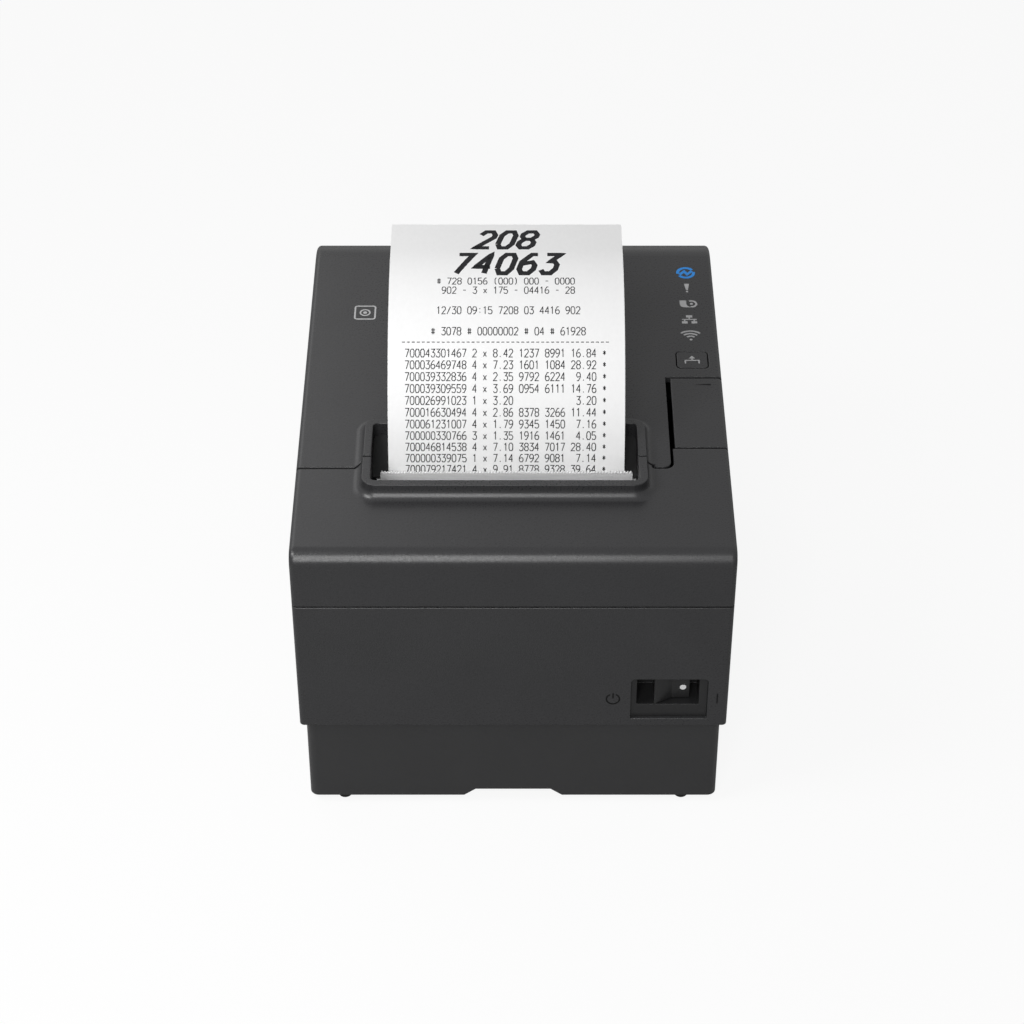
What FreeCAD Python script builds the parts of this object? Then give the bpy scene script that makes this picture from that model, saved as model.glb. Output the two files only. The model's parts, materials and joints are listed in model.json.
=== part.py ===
"""Desktop thermal receipt printer for 80 mm paper rolls, as a parametric document.

Frame: X to the right, Y to the rear, Z up, millimetres. The origin is on the table, under the
middle of the case. The front face of the case is at Y = -case_depth/2.
"""
import FreeCAD, Part
import os
import re
import Sketcher

doc = FreeCAD.newDocument("receipt_printer")

# Driving dimensions, in millimetres and degrees. A name that ends in "back" is a distance behind
# the front face, one that ends in "z" is a height above the table, and one that ends in "inset"
# is a distance in from the case's side or rear.
SIZES = {
    # Clearances
    "part_gap": 0.3,
    "running_fit": 0.05,
    "press_fit": 0.02,
    # Case
    "case_width": 145.3,
    "case_depth": 185.0,
    "front_height": 112.8,
    "top_slope": 3.0,
    "fold_radius": 5.0,
    "rear_radius": 20.2,
    "side_lean": 0.2,
    "edge_radius": 1.6,
    "wall": 2.5,
    "seam_z": 91.2,
    "seam_gap": 0.6,
    "cover_gap": 1.0,
    "lip_room": 0.4,
    "lip_thick": 1.2,
    "lip_height": 4.0,
    "lip_foot": 6.0,
    # Base and feet
    "base_inset": 2.15,
    "base_bottom_z": 3.65,
    "base_top_z": 38.8,
    "base_floor_z": 8.0,
    "base_corner": 3.0,
    "notch_height": 2.9,
    "notch_width": 34.0,
    "notch_slant": 4.0,
    "foot_radius": 2.6,
    "foot_tip_radius": 2.3,
    "foot_tip_height": 1.2,
    "foot_side_inset": 13.95,
    "foot_setback": 7.0,
    # Seam between the two covers, and the lever beside it
    "left_seam_back": 43.8,
    "left_seam_run": 2.6,
    "tongue_back": 43.9,
    "tongue_room": 2.3,
    "tongue_width": 6.5,
    "tongue_left_corner": 0.7,
    "tongue_right_corner": 2.4,
    "lever_room": 1.3,
    "lever_front_back": 54.2,
    "lever_rear_inset": 92.9,
    "lever_skirt_z": 108.0,
    "lever_pin_radius": 1.2,
    "lever_pin_setback": 3.0,
    "lever_pin_drop": 1.9,
    "lug_thick": 1.2,
    "lug_inset": 1.5,
    "lug_half": 2.2,
    "lug_heel": 2.6,
    "post_thick": 1.4,
    "post_heel": 2.4,
    "shelf_drop": 7.0,
    "shelf_thick": 1.5,
    "shelf_rear_room": 8.0,
    "shelf_side_room": 0.25,
    "tab_slant": 3.6,
    "tab_room": 0.4,
    "lever_spring_radius": 3.0,
    "lever_spring_room": 13.0,
    # Latch
    "latch_back": 59.5,
    "latch_z": 100.0,
    "latch_pin_radius": 1.5,
    "latch_pin_reach": 2.2,
    "latch_post_margin": 0.6,
    "latch_post_drop": 1.0,
    "latch_post_left": 1.2,
    "latch_post_right": 0.9,
    "hook_thick": 1.8,
    "hook_setback": 1.6,
    "hook_nose": 0.5,
    "hook_rise": 2.0,
    "hook_half": 1.0,
    # Paper slot and its raised rim
    "rim_left_room": 8.2,
    "rim_right_room": 7.1,
    "rim_front_back": 29.1,
    "rim_rear_back": 66.7,
    "rim_height": 5.0,
    "rim_fall": 4.0,
    "rim_wall": 2.7,
    "rim_corner": 4.6,
    "rim_foot": 3.0,
    "rim_split_back": 45.3,
    "rim_seam_room": 0.6,
    "rim_skirt_z": 108.4,
    # Paper and roll
    "paper_width": 79.5,
    "paper_shift": 2.25,
    "paper_thick": 0.16,
    "roll_radius": 30.0,
    "core_outer_radius": 9.0,
    "core_inner_radius": 6.3,
    "web_bend": 12.0,
    "web_lead": 0.1,
    "web_top_room": 0.4,
    "receipt_start_z": 106.3,
    "receipt_start_back": 48.15,
    "receipt_pitch": 73.0,
    "receipt_top_z": 160.6,
    "receipt_top_rise": 2.0,
    "receipt_bend": 60.0,
    "receipt_end_back": 123.0,
    # Roll pan
    "pan_radius": 43.0,
    "pan_back": 110.0,
    "pan_z": 69.5,
    "pan_wall": 2.0,
    "pan_side_room": 2.2,
    "pan_rear_top_z": 86.0,
    "ramp_angle": 49.3,
    "ramp_length": 48.0,
    "ramp_lip": 0.1,
    "deck_thick": 2.5,
    "bezel_clear": 1.0,
    "sensor_thick": 5.0,
    "sensor_half": 6.0,
    "sensor_drop": 16.5,
    # Print mechanism
    "nip_back": 46.8,
    "nip_room": 0.2,
    "platen_radius": 7.5,
    "platen_z": 96.0,
    "platen_overhang": 1.0,
    "shaft_radius": 3.0,
    "shaft_stub": 0.6,
    "bush_radius": 4.0,
    "arm_rim": 2.0,
    "arm_front": 4.2,
    "arm_heel": 4.0,
    "arm_web_room": 1.0,
    "arm_web_thick": 1.6,
    "arm_web_drop": 3.0,
    "frame_thick": 1.5,
    "frame_room": 0.55,
    "frame_top_z": 102.5,
    "frame_front_back": 14.0,
    "frame_rear_back": 70.0,
    "frame_shoulder_back": 64.0,
    "frame_shoulder_z": 84.0,
    "frame_step_z": 90.0,
    "frame_step_room": 1.2,
    "head_thick": 2.2,
    "head_height": 16.0,
    "head_room": 0.4,
    "head_drop": 1.0,
    "head_overhang": 1.0,
    "sink_thick": 6.5,
    "sink_overhang": 1.5,
    "sink_drop": 2.0,
    "spring_length": 8.5,
    "spring_radius": 3.0,
    "spring_wire": 1.0,
    "cross_bar_thick": 2.0,
    "cross_bar_low_z": 78.0,
    "cross_bar_drop": 0.5,
    # Gears
    "gear_module": 0.8,
    "gear_width": 4.0,
    "platen_teeth": 24,
    "drive_teeth": 40,
    "pinion_teeth": 12,
    "cutter_teeth": 24,
    "mesh_play": 0.1,
    "gear_offset": 7.9,
    "pinion_bearing": 20.0,
    "motor_radius": 15.0,
    "motor_length": 22.0,
    "motor_shaft_radius": 1.5,
    "motor_shaft_room": 0.5,
    "motor_hole_room": 2.0,
    "stud_radius": 2.5,
    # Cutter
    "cutter_plate_thick": 1.6,
    "blade_thick": 1.0,
    "blade_room": 0.3,
    "blade_overhang": 1.5,
    "blade_depth": 24.0,
    "blade_edge_back": 44.0,
    "blade_notch": 2.5,
    "rack_teeth": 5,
    "fixed_blade_room": 0.5,
    "cutter_motor_radius": 5.6,
    "cutter_motor_length": 24.0,
    "cutter_shaft_radius": 1.5,
    "cutter_shaft_depth": 7.0,
    "cutter_shaft_room": 1.0,
    "cutter_shaft_rise": 1.2,
    "cutter_gear_rise": 0.8,
    "wing_margin": 1.0,
    "tear_bar_thick": 0.8,
    "tear_bar_room": 0.5,
    "tear_bar_top_z": 112.0,
    "tear_bar_low_z": 107.2,
    "tear_bar_overhang": 2.6,
    "tear_tooth_pitch": 1.0,
    "tear_tooth_depth": 0.6,
    "tear_leg_width": 1.2,
    "tear_leg_drop": 3.6,
    "guide_room": 1.0,
    "guide_lip": 0.5,
    "guide_drop": 2.6,
    # Cover hinge
    "hinge_radius": 3.5,
    "hinge_room": 0.8,
    "hinge_pin_radius": 1.5,
    "hinge_pin_reach": 4.0,
    "hinge_lug_inset": 10.65,
    "hinge_lug_thick": 4.0,
    "stem_reach": 2.6,
    "stem_lead": 1.0,
    "stem_drop": 12.0,
    "stem_toe": 4.0,
    "bead_inset": 0.15,
    # Keys and lights on the roll cover
    "button_side_inset": 9.85,
    "button_rear_inset": 83.0,
    "button_width": 10.6,
    "button_depth": 8.8,
    "button_corner": 1.25,
    "button_room": 0.45,
    "button_proud": 0.0,
    "button_travel": 0.8,
    "button_flange": 1.0,
    "button_flange_thick": 1.0,
    "button_flange_room": 0.4,
    "lights_side_inset": 9.65,
    "lights_rear_inset": 69.0,
    "lights_pitch": 9.3,
    "light_pipe_half": 2.0,
    "key_board_drop": 6.0,
    "key_board_left": 12.0,
    "key_board_right": 6.0,
    "key_switch_half": 3.0,
    "key_switch_gap": 0.15,
    "peg_radius": 2.0,
    "peg_offset": 8.0,
    "peg_lead": 4.0,
    "peg_gap": 0.15,
    "board_thick": 1.6,
    # Power switch
    "bezel_side_inset": 7.15,
    "bezel_width": 25.9,
    "bezel_low_z": 41.8,
    "bezel_high_z": 59.5,
    "bezel_sink": 1.2,
    "bezel_corner": 1.4,
    "well_left_room": 2.0,
    "well_right_room": 2.9,
    "well_low_z": 47.3,
    "well_high_z": 59.2,
    "well_depth": 12.0,
    "well_back_wall": 1.5,
    "rocker_left_room": 5.9,
    "rocker_right_room": 3.0,
    "rocker_high_back": 0.9,
    "rocker_waist_back": 4.1,
    "rocker_low_back": 4.4,
    "rocker_heel_back": 6.6,
    "rocker_tail_room": 2.0,
    "rocker_tail_half": 3.0,
    "rocker_pivot_back": 7.0,
    "rocker_pin_radius": 1.2,
    "rocker_pin_reach": 0.1,
    # Boards and rear sockets
    "bay_half_width": 50.0,
    "bay_low_z": 12.6,
    "bay_high_z": 35.4,
    "bay_recess": 5.0,
    "plate_thick": 1.0,
    "plate_margin": 4.0,
    "plate_rise": 2.0,
    "socket_wall": 1.2,
    "socket_depth": 14.0,
    "socket_proud": 1.5,
    "window_room": 0.2,
    "board_z": 14.0,
    "board_front_back": 20.0,
    "board_side_inset": 12.65,
    "board_gap": 9.0,
    "interface_depth": 34.7,
    "post_radius": 3.0,
    "post_setback": 6.0,
    "post_side_room": 5.0,
    "screw_radius": 1.45,
    "screw_hole_radius": 1.5,
    "screw_head_radius": 2.8,
    "screw_head_height": 2.0,
    "screw_tip_room": 0.5,
}

sheet = doc.addObject("Spreadsheet::Sheet", "sizes")
for row, (alias, number) in enumerate(SIZES.items(), 1):
    sheet.set(f"A{row}", alias)
    sheet.set(f"B{row}", str(number))
    sheet.setAlias(f"B{row}", alias)
doc.recompute()


def to_sheet(text):
    """Turn each size's name in an expression into a reference to its cell."""
    return re.sub(r"[A-Za-z_]\w*", lambda word: "sizes." + word[0] if word[0] in SIZES else word[0], text)


def bind(thing, prop, text):
    thing.setExpression(prop, to_sheet(text))


def number_of(text):
    return float(sheet.evalExpression(to_sheet(text)))


def back(text):
    """The Y of a place that lies this far behind the front face."""
    return f"(-case_depth/2 + {text})"


def top_at(distance, drop="0"):
    """The height of the sloping top, this far behind the front face, less a drop."""
    return f"(front_height + ({distance})*tan(top_slope) - ({drop}))"


def half_width_at(height, inset="0"):
    """Half the case's width at a height, because its sides lean outwards going up."""
    return f"(case_width/2 - ({inset}) - (front_height - ({height}))*tan(side_lean))"


# Places that several pieces share

CASE_HALF = "(case_width/2)"
BASE_HALF = "(case_width/2 - base_inset)"
BASE_FRONT = back("base_inset")
BASE_REAR = "(case_depth/2 - base_inset)"
DECK_TOP = "(base_top_z + deck_thick)"
HINGE_Y = "(case_depth/2 - hinge_radius)"
HINGE_Z = "seam_z"
PAPER_LEFT = "(-paper_shift - paper_width/2)"
PAPER_RIGHT = "(-paper_shift + paper_width/2)"
RIM_LEFT = f"({PAPER_LEFT} - rim_left_room)"
RIM_RIGHT = f"({PAPER_RIGHT} + rim_right_room)"
TONGUE_LEFT = f"({RIM_RIGHT} + tongue_room)"
TONGUE_RIGHT = f"({TONGUE_LEFT} + tongue_width)"
LEVER_LEFT = f"({TONGUE_RIGHT} + lever_room)"
LEVER_REAR = "(case_depth - lever_rear_inset)"
LEVER_PIN_Y = back("(lever_front_back + lever_pin_setback)")
LEVER_PIN_Z = f"({top_at('lever_front_back')} - wall - lever_pin_drop)"
BUTTON_X = "(case_width/2 - button_side_inset)"
BUTTON_BACK = "(case_depth - button_rear_inset)"
LIGHTS_X = "(case_width/2 - lights_side_inset)"
LIGHTS_FRONT = "(case_depth - lights_rear_inset)"
BEZEL_RIGHT = "(case_width/2 - bezel_side_inset)"
BEZEL_LEFT = f"({BEZEL_RIGHT} - bezel_width)"
WELL_LEFT = f"({BEZEL_LEFT} + well_left_room)"
WELL_RIGHT = f"({BEZEL_RIGHT} - well_right_room)"
PLATEN_Y = back("(nip_back + nip_room + platen_radius)")
PAN_LEFT = f"({PAPER_LEFT} - pan_side_room)"
PAN_RIGHT = f"({PAPER_RIGHT} + pan_side_room)"
PAN_WALL_LEFT = f"({PAN_LEFT} - pan_wall)"
PAN_WALL_RIGHT = f"({PAN_RIGHT} + pan_wall)"
LEFT_FRAME = f"({PAN_WALL_LEFT} - frame_room)"
RIGHT_FRAME = f"({PAN_WALL_RIGHT} + frame_room)"
DRIVE_Z = "(platen_z - (platen_teeth + drive_teeth)*gear_module/2 - mesh_play)"
PINION_REACH = "((drive_teeth + pinion_teeth)*gear_module/2 + mesh_play)"
PINION_Y = f"({PLATEN_Y} - {PINION_REACH}*cos(pinion_bearing))"
PINION_Z = f"({DRIVE_Z} - {PINION_REACH}*sin(pinion_bearing))"
GEAR_RIGHT = f"({LEFT_FRAME} - frame_thick - gear_offset + gear_width/2)"
GEAR_LEFT = f"({GEAR_RIGHT} - gear_width)"
ROLL_Z = "(pan_z - pan_radius + part_gap + roll_radius)"
HEAD_HIGH = "(frame_top_z - head_drop)"
HEAD_LOW = f"({HEAD_HIGH} - head_height)"
CUTTER_TOP = "(frame_top_z + cutter_plate_thick)"
BLADE_LOW = f"({CUTTER_TOP} + blade_room)"
BLADE_HIGH = f"({BLADE_LOW} + blade_thick)"
BLADE_LEFT = f"({PAPER_LEFT} - blade_overhang)"
BLADE_RIGHT = f"({PAPER_RIGHT} + blade_overhang)"
FIXED_BLADE_LOW = f"({BLADE_HIGH} + blade_room)"
FIXED_BLADE_HIGH = f"({FIXED_BLADE_LOW} + blade_thick)"
CUTTER_GEAR_X = f"({BLADE_RIGHT} + (1.25 + cutter_teeth/2)*gear_module + mesh_play)"
CUTTER_GEAR_Y = back("(blade_edge_back - blade_depth/2 - 2*gear_module)")
PLATE_REAR = f"({BASE_REAR} - wall - bay_recess)"
INTERFACE_REAR = f"({PLATE_REAR} - plate_thick - part_gap)"
INTERFACE_FRONT = f"({INTERFACE_REAR} - interface_depth)"
BOARD_HALF = "(case_width/2 - board_side_inset)"
BOARD_FRONT = back("board_front_back")
BOARD_REAR = f"({INTERFACE_FRONT} - board_gap)"
BOARD_TOP = "(board_z + board_thick)"
SIDES = ("-1", "1")
BOARD_POSTS = [
    (f"{side}*({BOARD_HALF} - post_side_room)", along)
    for side in SIDES
    for along in (f"({BOARD_FRONT} + post_setback)", f"({BOARD_REAR} - post_setback)")
]
FEET = [
    (f"{side}*({CASE_HALF} - foot_side_inset)", back(f"({along})"))
    for side in SIDES
    for along in ("foot_setback", "case_depth - foot_setback")
]


# Shape builders: each makes objects whose sizes are bound to the sheet

PLANE_AXES = {"XY": "xy", "XZ": "xz", "YZ": "yz"}


def box(name, xs, ys, zs):
    piece = doc.addObject("Part::Box", name)
    for side, letter, (low, high) in zip(("Length", "Width", "Height"), "xyz", (xs, ys, zs)):
        bind(piece, side, f"({high}) - ({low})")
        bind(piece, f"Placement.Base.{letter}", low)
    return piece


def rod(name, axis, centre, span, radius):
    """A cylinder along X, Y or Z. centre gives the two other coordinates in X, Y, Z order."""
    piece = doc.addObject("Part::Cylinder", name)
    turns = {
        "x": FreeCAD.Rotation(FreeCAD.Vector(0, 1, 0), 90),
        "y": FreeCAD.Rotation(FreeCAD.Vector(1, 0, 0), -90),
        "z": FreeCAD.Rotation(),
    }
    piece.Placement = FreeCAD.Placement(FreeCAD.Vector(), turns[axis])
    bind(piece, "Radius", radius)
    bind(piece, "Height", f"({span[1]}) - ({span[0]})")
    bind_place(piece, axis, centre, span[0])
    return piece


def bind_place(piece, axis, centre, start):
    """Bind a piece's base: its start along an axis, and its centre in the other two directions."""
    places = dict(zip([letter for letter in "xyz" if letter != axis], centre))
    places[axis] = start
    for letter, text in places.items():
        bind(piece, f"Placement.Base.{letter}", text)


def new_sketch(body, name, plane):
    sketch = body.newObject("Sketcher::SketchObject", name)
    base = [part for part in body.Origin.OriginFeatures if part.Role == plane + "_Plane"][0]
    sketch.AttachmentSupport = [(base, "")]
    sketch.MapMode = "FlatFace"
    return sketch


def draw_polygon(sketch, points):
    """Draw a closed polygon whose corners are bound to expressions, and return where they are."""
    places = [(number_of(across), number_of(up)) for across, up in points]
    count = len(points)
    for corner in range(count):
        start = FreeCAD.Vector(*places[corner], 0)
        end = FreeCAD.Vector(*places[(corner + 1) % count], 0)
        sketch.addGeometry(Part.LineSegment(start, end))
    for corner in range(count):
        sketch.addConstraint(Sketcher.Constraint("Coincident", corner, 2, (corner + 1) % count, 1))
    for corner, (texts, values) in enumerate(zip(points, places)):
        for kind, text, value in zip(("DistanceX", "DistanceY"), texts, values):
            place = sketch.addConstraint(Sketcher.Constraint(kind, -1, 1, corner, 1, value))
            bind(sketch, f"Constraints[{place}]", text)
    return places


def draw_ring(sketch, radius):
    ring = sketch.addGeometry(Part.Circle(FreeCAD.Vector(), FreeCAD.Vector(0, 0, 1), number_of(radius)))
    sketch.addConstraint(Sketcher.Constraint("Coincident", ring, 3, -1, 1))
    place = sketch.addConstraint(Sketcher.Constraint("Radius", ring, number_of(radius)))
    bind(sketch, f"Constraints[{place}]", radius)


def pad(body, name, sketch, length):
    solid = body.newObject("PartDesign::Pad", name)
    solid.Profile = sketch
    bind(solid, "Length", length)
    doc.recompute()
    return solid


def outline(name, plane, points, low, high, rounds=()):
    """A body padded from a polygon. rounds holds (corner numbers, radius) pairs."""
    body = doc.addObject("PartDesign::Body", name)
    sketch = new_sketch(body, name + "_sketch", plane)
    places = draw_polygon(sketch, points)
    bind(sketch, "AttachmentOffset.Base.z", f"-({high})" if plane == "XZ" else low)
    pad(body, name + "_pad", sketch, f"({high}) - ({low})")
    for step, (corners, radius) in enumerate(rounds):
        round_corners(body, f"{name}_round{step}", plane, [places[corner] for corner in corners], radius)
    return body


def round_corners(body, name, plane, places, radius):
    """Fillet the padded edges that stand on these corners of the sketch."""
    before = body.Tip
    letters = PLANE_AXES[plane]
    picks = []
    for number, edge in enumerate(before.Shape.Edges, 1):
        ends = [[getattr(corner.Point, letter) for letter in letters] for corner in edge.Vertexes]
        for place in places:
            if all(abs(end[0] - place[0]) + abs(end[1] - place[1]) < 1e-4 for end in ends):
                picks.append(f"Edge{number}")
    fillet = body.newObject("PartDesign::Fillet", name)
    fillet.Base = (before, picks)
    bind(fillet, "Radius", radius)
    doc.recompute()


def fuse(name, pieces):
    whole = doc.addObject("Part::MultiFuse", name)
    whole.Shapes = pieces
    return whole


def cut(name, base, tools):
    rest = doc.addObject("Part::Cut", name)
    rest.Base = base
    rest.Tool = tools[0] if len(tools) == 1 else fuse(name + "_tools", tools)
    return rest


def common(name, base, tool):
    shared = doc.addObject("Part::Common", name)
    shared.Base = base
    shared.Tool = tool
    return shared


def group(name, pieces):
    together = doc.addObject("Part::Compound", name)
    together.Links = pieces
    return together


def tube(name, axis, centre, span, outer, inner):
    outside = rod(name + "_outside", axis, centre, span, outer)
    return cut(name, outside, [rod(name + "_bore", axis, centre, span, inner)])


def round_block(name, xs, ys, zs, corner):
    """An upright block with rounded vertical edges."""
    corners = [(xs[0], ys[0]), (xs[1], ys[0]), (xs[1], ys[1]), (xs[0], ys[1])]
    return outline(name, "XY", corners, zs[0], zs[1], [(range(4), corner)])


# A tooth's flank from its root to its tip, as distances out from the pitch circle and aside from
# the tooth's middle, in modules
TOOTH_FLANK = [("-1.35", "0.95"), ("0", "0.62"), ("0.9", "0.28")]


def gear(name, axis, centre, span, teeth, bore, phase):
    """A spur gear: a disc with one tooth, repeated round it. phase turns the first tooth, in degrees."""
    body = doc.addObject("PartDesign::Body", name)
    plane = {"x": "YZ", "z": "XY"}[axis]
    pitch_radius = f"({teeth}*gear_module/2)"
    length = f"({span[1]}) - ({span[0]})"
    disc_sketch = new_sketch(body, name + "_disc_sketch", plane)
    draw_ring(disc_sketch, f"({pitch_radius} - 1.15*gear_module)")
    draw_ring(disc_sketch, bore)
    pad(body, name + "_disc", disc_sketch, length)
    tooth_sketch = new_sketch(body, name + "_tooth_sketch", plane)
    flanks = TOOTH_FLANK + [(out, f"-{aside}") for out, aside in reversed(TOOTH_FLANK)]
    draw_polygon(tooth_sketch, [
        (f"{pitch_radius} + ({out})*gear_module", f"({aside})*gear_module") for out, aside in flanks
    ])
    tooth = pad(body, name + "_tooth", tooth_sketch, length)
    ring = body.newObject("PartDesign::PolarPattern", name + "_teeth")
    ring.Originals = [tooth]
    ring.Axis = (disc_sketch, ["N_Axis"])
    ring.Angle = 360
    bind(ring, "Occurrences", teeth)
    body.Tip = ring
    doc.recompute()
    normal = FreeCAD.Vector(1, 0, 0) if axis == "x" else FreeCAD.Vector(0, 0, 1)
    body.Placement = FreeCAD.Placement(FreeCAD.Vector(), FreeCAD.Rotation(normal, number_of(phase)))
    bind_place(body, axis, centre, span[0])
    return body


NODES = {}


def keep(node, piece):
    """Name a finished sub-part."""
    piece.Label = node
    NODES[node] = piece


# Case forms: the outside of the whole case, and the same form drawn in by the wall


def case_form(name, inset, rounded):
    front = back(inset)
    rear = f"(case_depth/2 - ({inset}))"
    top_front = top_at(inset, inset)
    top_rear = top_at(f"case_depth - ({inset})", inset)
    corners = [(front, "base_top_z"), (front, top_front), (rear, top_rear), (rear, "base_top_z")]
    bends = [([1], f"fold_radius - ({inset})/2"), ([2], f"rear_radius - ({inset})")]
    side = outline(name + "_side", "YZ", corners, "-case_width", "case_width", bends)
    high = "(front_height + rear_radius)"
    low_half = half_width_at("base_top_z", inset)
    high_half = half_width_at(high, inset)
    ends = outline(name + "_ends", "XZ", [
        (f"-{low_half}", "base_top_z"),
        (low_half, "base_top_z"),
        (high_half, high),
        (f"-{high_half}", high),
    ], "-case_depth", "case_depth")
    block = common(name + "_block", side, ends)
    doc.recompute()
    if not rounded:
        return block
    return round_sides(name, block)


def round_sides(name, block):
    """Round the long edges of the left side, then share the form with its mirror image."""
    floor = number_of("base_top_z")
    picks = []
    for number, edge in enumerate(block.Shape.Edges, 1):
        points = spots_along(edge)
        on_left = all(abs(spot.x + number_of(half_width_at(str(spot.z)))) < 1e-3 for spot in points)
        if on_left and max(spot.z for spot in points) > floor + 1:
            picks.append((number, SIZES["edge_radius"], SIZES["edge_radius"]))
    rounded = doc.addObject("Part::Fillet", name + "_left_edges")
    rounded.Base = block
    rounded.Edges = picks
    mirrored = doc.addObject("Part::Mirroring", name + "_right_edges")
    mirrored.Source = rounded
    mirrored.Normal = FreeCAD.Vector(1, 0, 0)
    return common(name + "_rounded", rounded, mirrored)


def spots_along(edge, steps=4):
    span = edge.LastParameter - edge.FirstParameter
    return [edge.valueAt(edge.FirstParameter + span * step / steps) for step in range(steps + 1)]


def raised_rim(name, inset, low, lift, fall="rim_fall"):
    """The upright ring block round the paper slot, whose top falls towards the case's top at the rear."""
    xs = (f"{RIM_LEFT} + ({inset})", f"{RIM_RIGHT} - ({inset})")
    ys = (back(f"(rim_front_back + ({inset}))"), back(f"(rim_rear_back - ({inset}))"))
    zs = (low, f"{top_at('rim_rear_back')} + rear_radius")
    column = round_block(name + "_column", xs, ys, zs, f"rim_corner - ({inset})")
    front_top = f"{top_at('0')} + ({lift}) + rim_front_back*tan({fall})"
    rear_top = f"{top_at('case_depth')} + ({lift}) - (case_depth - rim_front_back)*tan({fall})"
    limit = outline(name + "_limit", "YZ", [
        (back("0"), low),
        (back("case_depth"), low),
        (back("case_depth"), rear_top),
        (back("0"), front_top),
    ], "-case_width", "case_width")
    return common(name, column, limit)


def rim_foot_edges(crowned):
    """The edges where the rim stands on the case's top."""
    slack = 0.01
    left, right = number_of(RIM_LEFT) - slack, number_of(RIM_RIGHT) + slack
    front, rear = number_of(back("rim_front_back")) - slack, number_of(back("rim_rear_back")) + slack
    half = number_of("case_depth/2")
    picks = []
    for number, edge in enumerate(crowned.Shape.Edges, 1):
        points = spots_along(edge)
        near = all(left < spot.x < right and front < spot.y < rear for spot in points)
        heights = [number_of(top_at(str(spot.y + half))) for spot in points]
        if near and all(abs(spot.z - height) < slack for spot, height in zip(points, heights)):
            picks.append((number, SIZES["rim_foot"], SIZES["rim_foot"]))
    return picks


def case_shell():
    """The whole case wall with the slot's rim on it, before it is divided into covers."""
    outside = case_form("outside", "0", True)
    rim = raised_rim("rim", "0", f"{top_at('0')} - wall", "rim_height")
    crowned = fuse("crowned", [outside, rim])
    doc.recompute()
    blended = doc.addObject("Part::Fillet", "rim_blend")
    blended.Base = crowned
    blended.Edges = rim_foot_edges(crowned)
    inside = case_form("inside", "wall", False)
    hollow = cut("hollow_case", blended, [inside])
    slot_skirt = raised_rim("slot_skirt", "0", "rim_skirt_z", "-wall/2", "0")
    slot = raised_rim("slot", "rim_wall", "rim_skirt_z - wall", "rim_height + wall")
    return cut("case_shell", fuse("skirted_case", [hollow, slot_skirt]), [slot])


def cover_regions():
    """Plan outlines of the cutter cover's, the roll cover's and the lever's shares of the top."""
    play = "cover_gap/2"
    wide = "case_width"
    deep = "2*case_depth"
    low = "seam_z + seam_gap/2"
    high = "front_height + case_depth"
    rim_edge = f"({RIM_LEFT} - rim_seam_room)"
    seam_end = f"({RIM_LEFT} - left_seam_run)"
    cutter = outline("cutter_region", "XY", [
        (f"-{wide}", back("-wall")),
        (wide, back("-wall")),
        (wide, back(f"lever_front_back - {play}")),
        (f"{TONGUE_RIGHT} + {play}", back(f"lever_front_back - {play}")),
        (f"{TONGUE_RIGHT} + {play}", back(f"tongue_back - {play}")),
        (f"{TONGUE_LEFT} - {play}", back(f"tongue_back - {play}")),
        (f"{TONGUE_LEFT} - {play}", back(f"rim_split_back - {play}")),
        (rim_edge, back(f"rim_split_back - {play}")),
        (seam_end, back(f"left_seam_back - {play}")),
        (f"-{wide}", back(f"left_seam_back - {play}")),
    ], low, high, [([4], f"tongue_right_corner + {play}"), ([5], f"tongue_left_corner + {play}")])
    roll = outline("roll_region", "XY", [
        (f"-{wide}", back(f"left_seam_back + {play}")),
        (seam_end, back(f"left_seam_back + {play}")),
        (rim_edge, back(f"rim_split_back + {play}")),
        (f"{TONGUE_LEFT} + {play}", back(f"rim_split_back + {play}")),
        (f"{TONGUE_LEFT} + {play}", back(f"tongue_back + {play}")),
        (f"{TONGUE_RIGHT} - {play}", back(f"tongue_back + {play}")),
        (f"{TONGUE_RIGHT} - {play}", back(f"{LEVER_REAR} + {play}")),
        (wide, back(f"{LEVER_REAR} + {play}")),
        (wide, deep),
        (f"-{wide}", deep),
    ], low, high, [([4], "tongue_left_corner"), ([5], "tongue_right_corner")])
    lever_ys = (back(f"lever_front_back + {play}"), back(f"{LEVER_REAR} - {play}"))
    lever = box("lever_region", (LEVER_LEFT, wide), lever_ys, ("lever_skirt_z", high))
    return cutter, roll, lever


SHELL = case_shell()
CUTTER_REGION, ROLL_REGION, LEVER_REGION = cover_regions()


# Base and case pieces of the chassis


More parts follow.
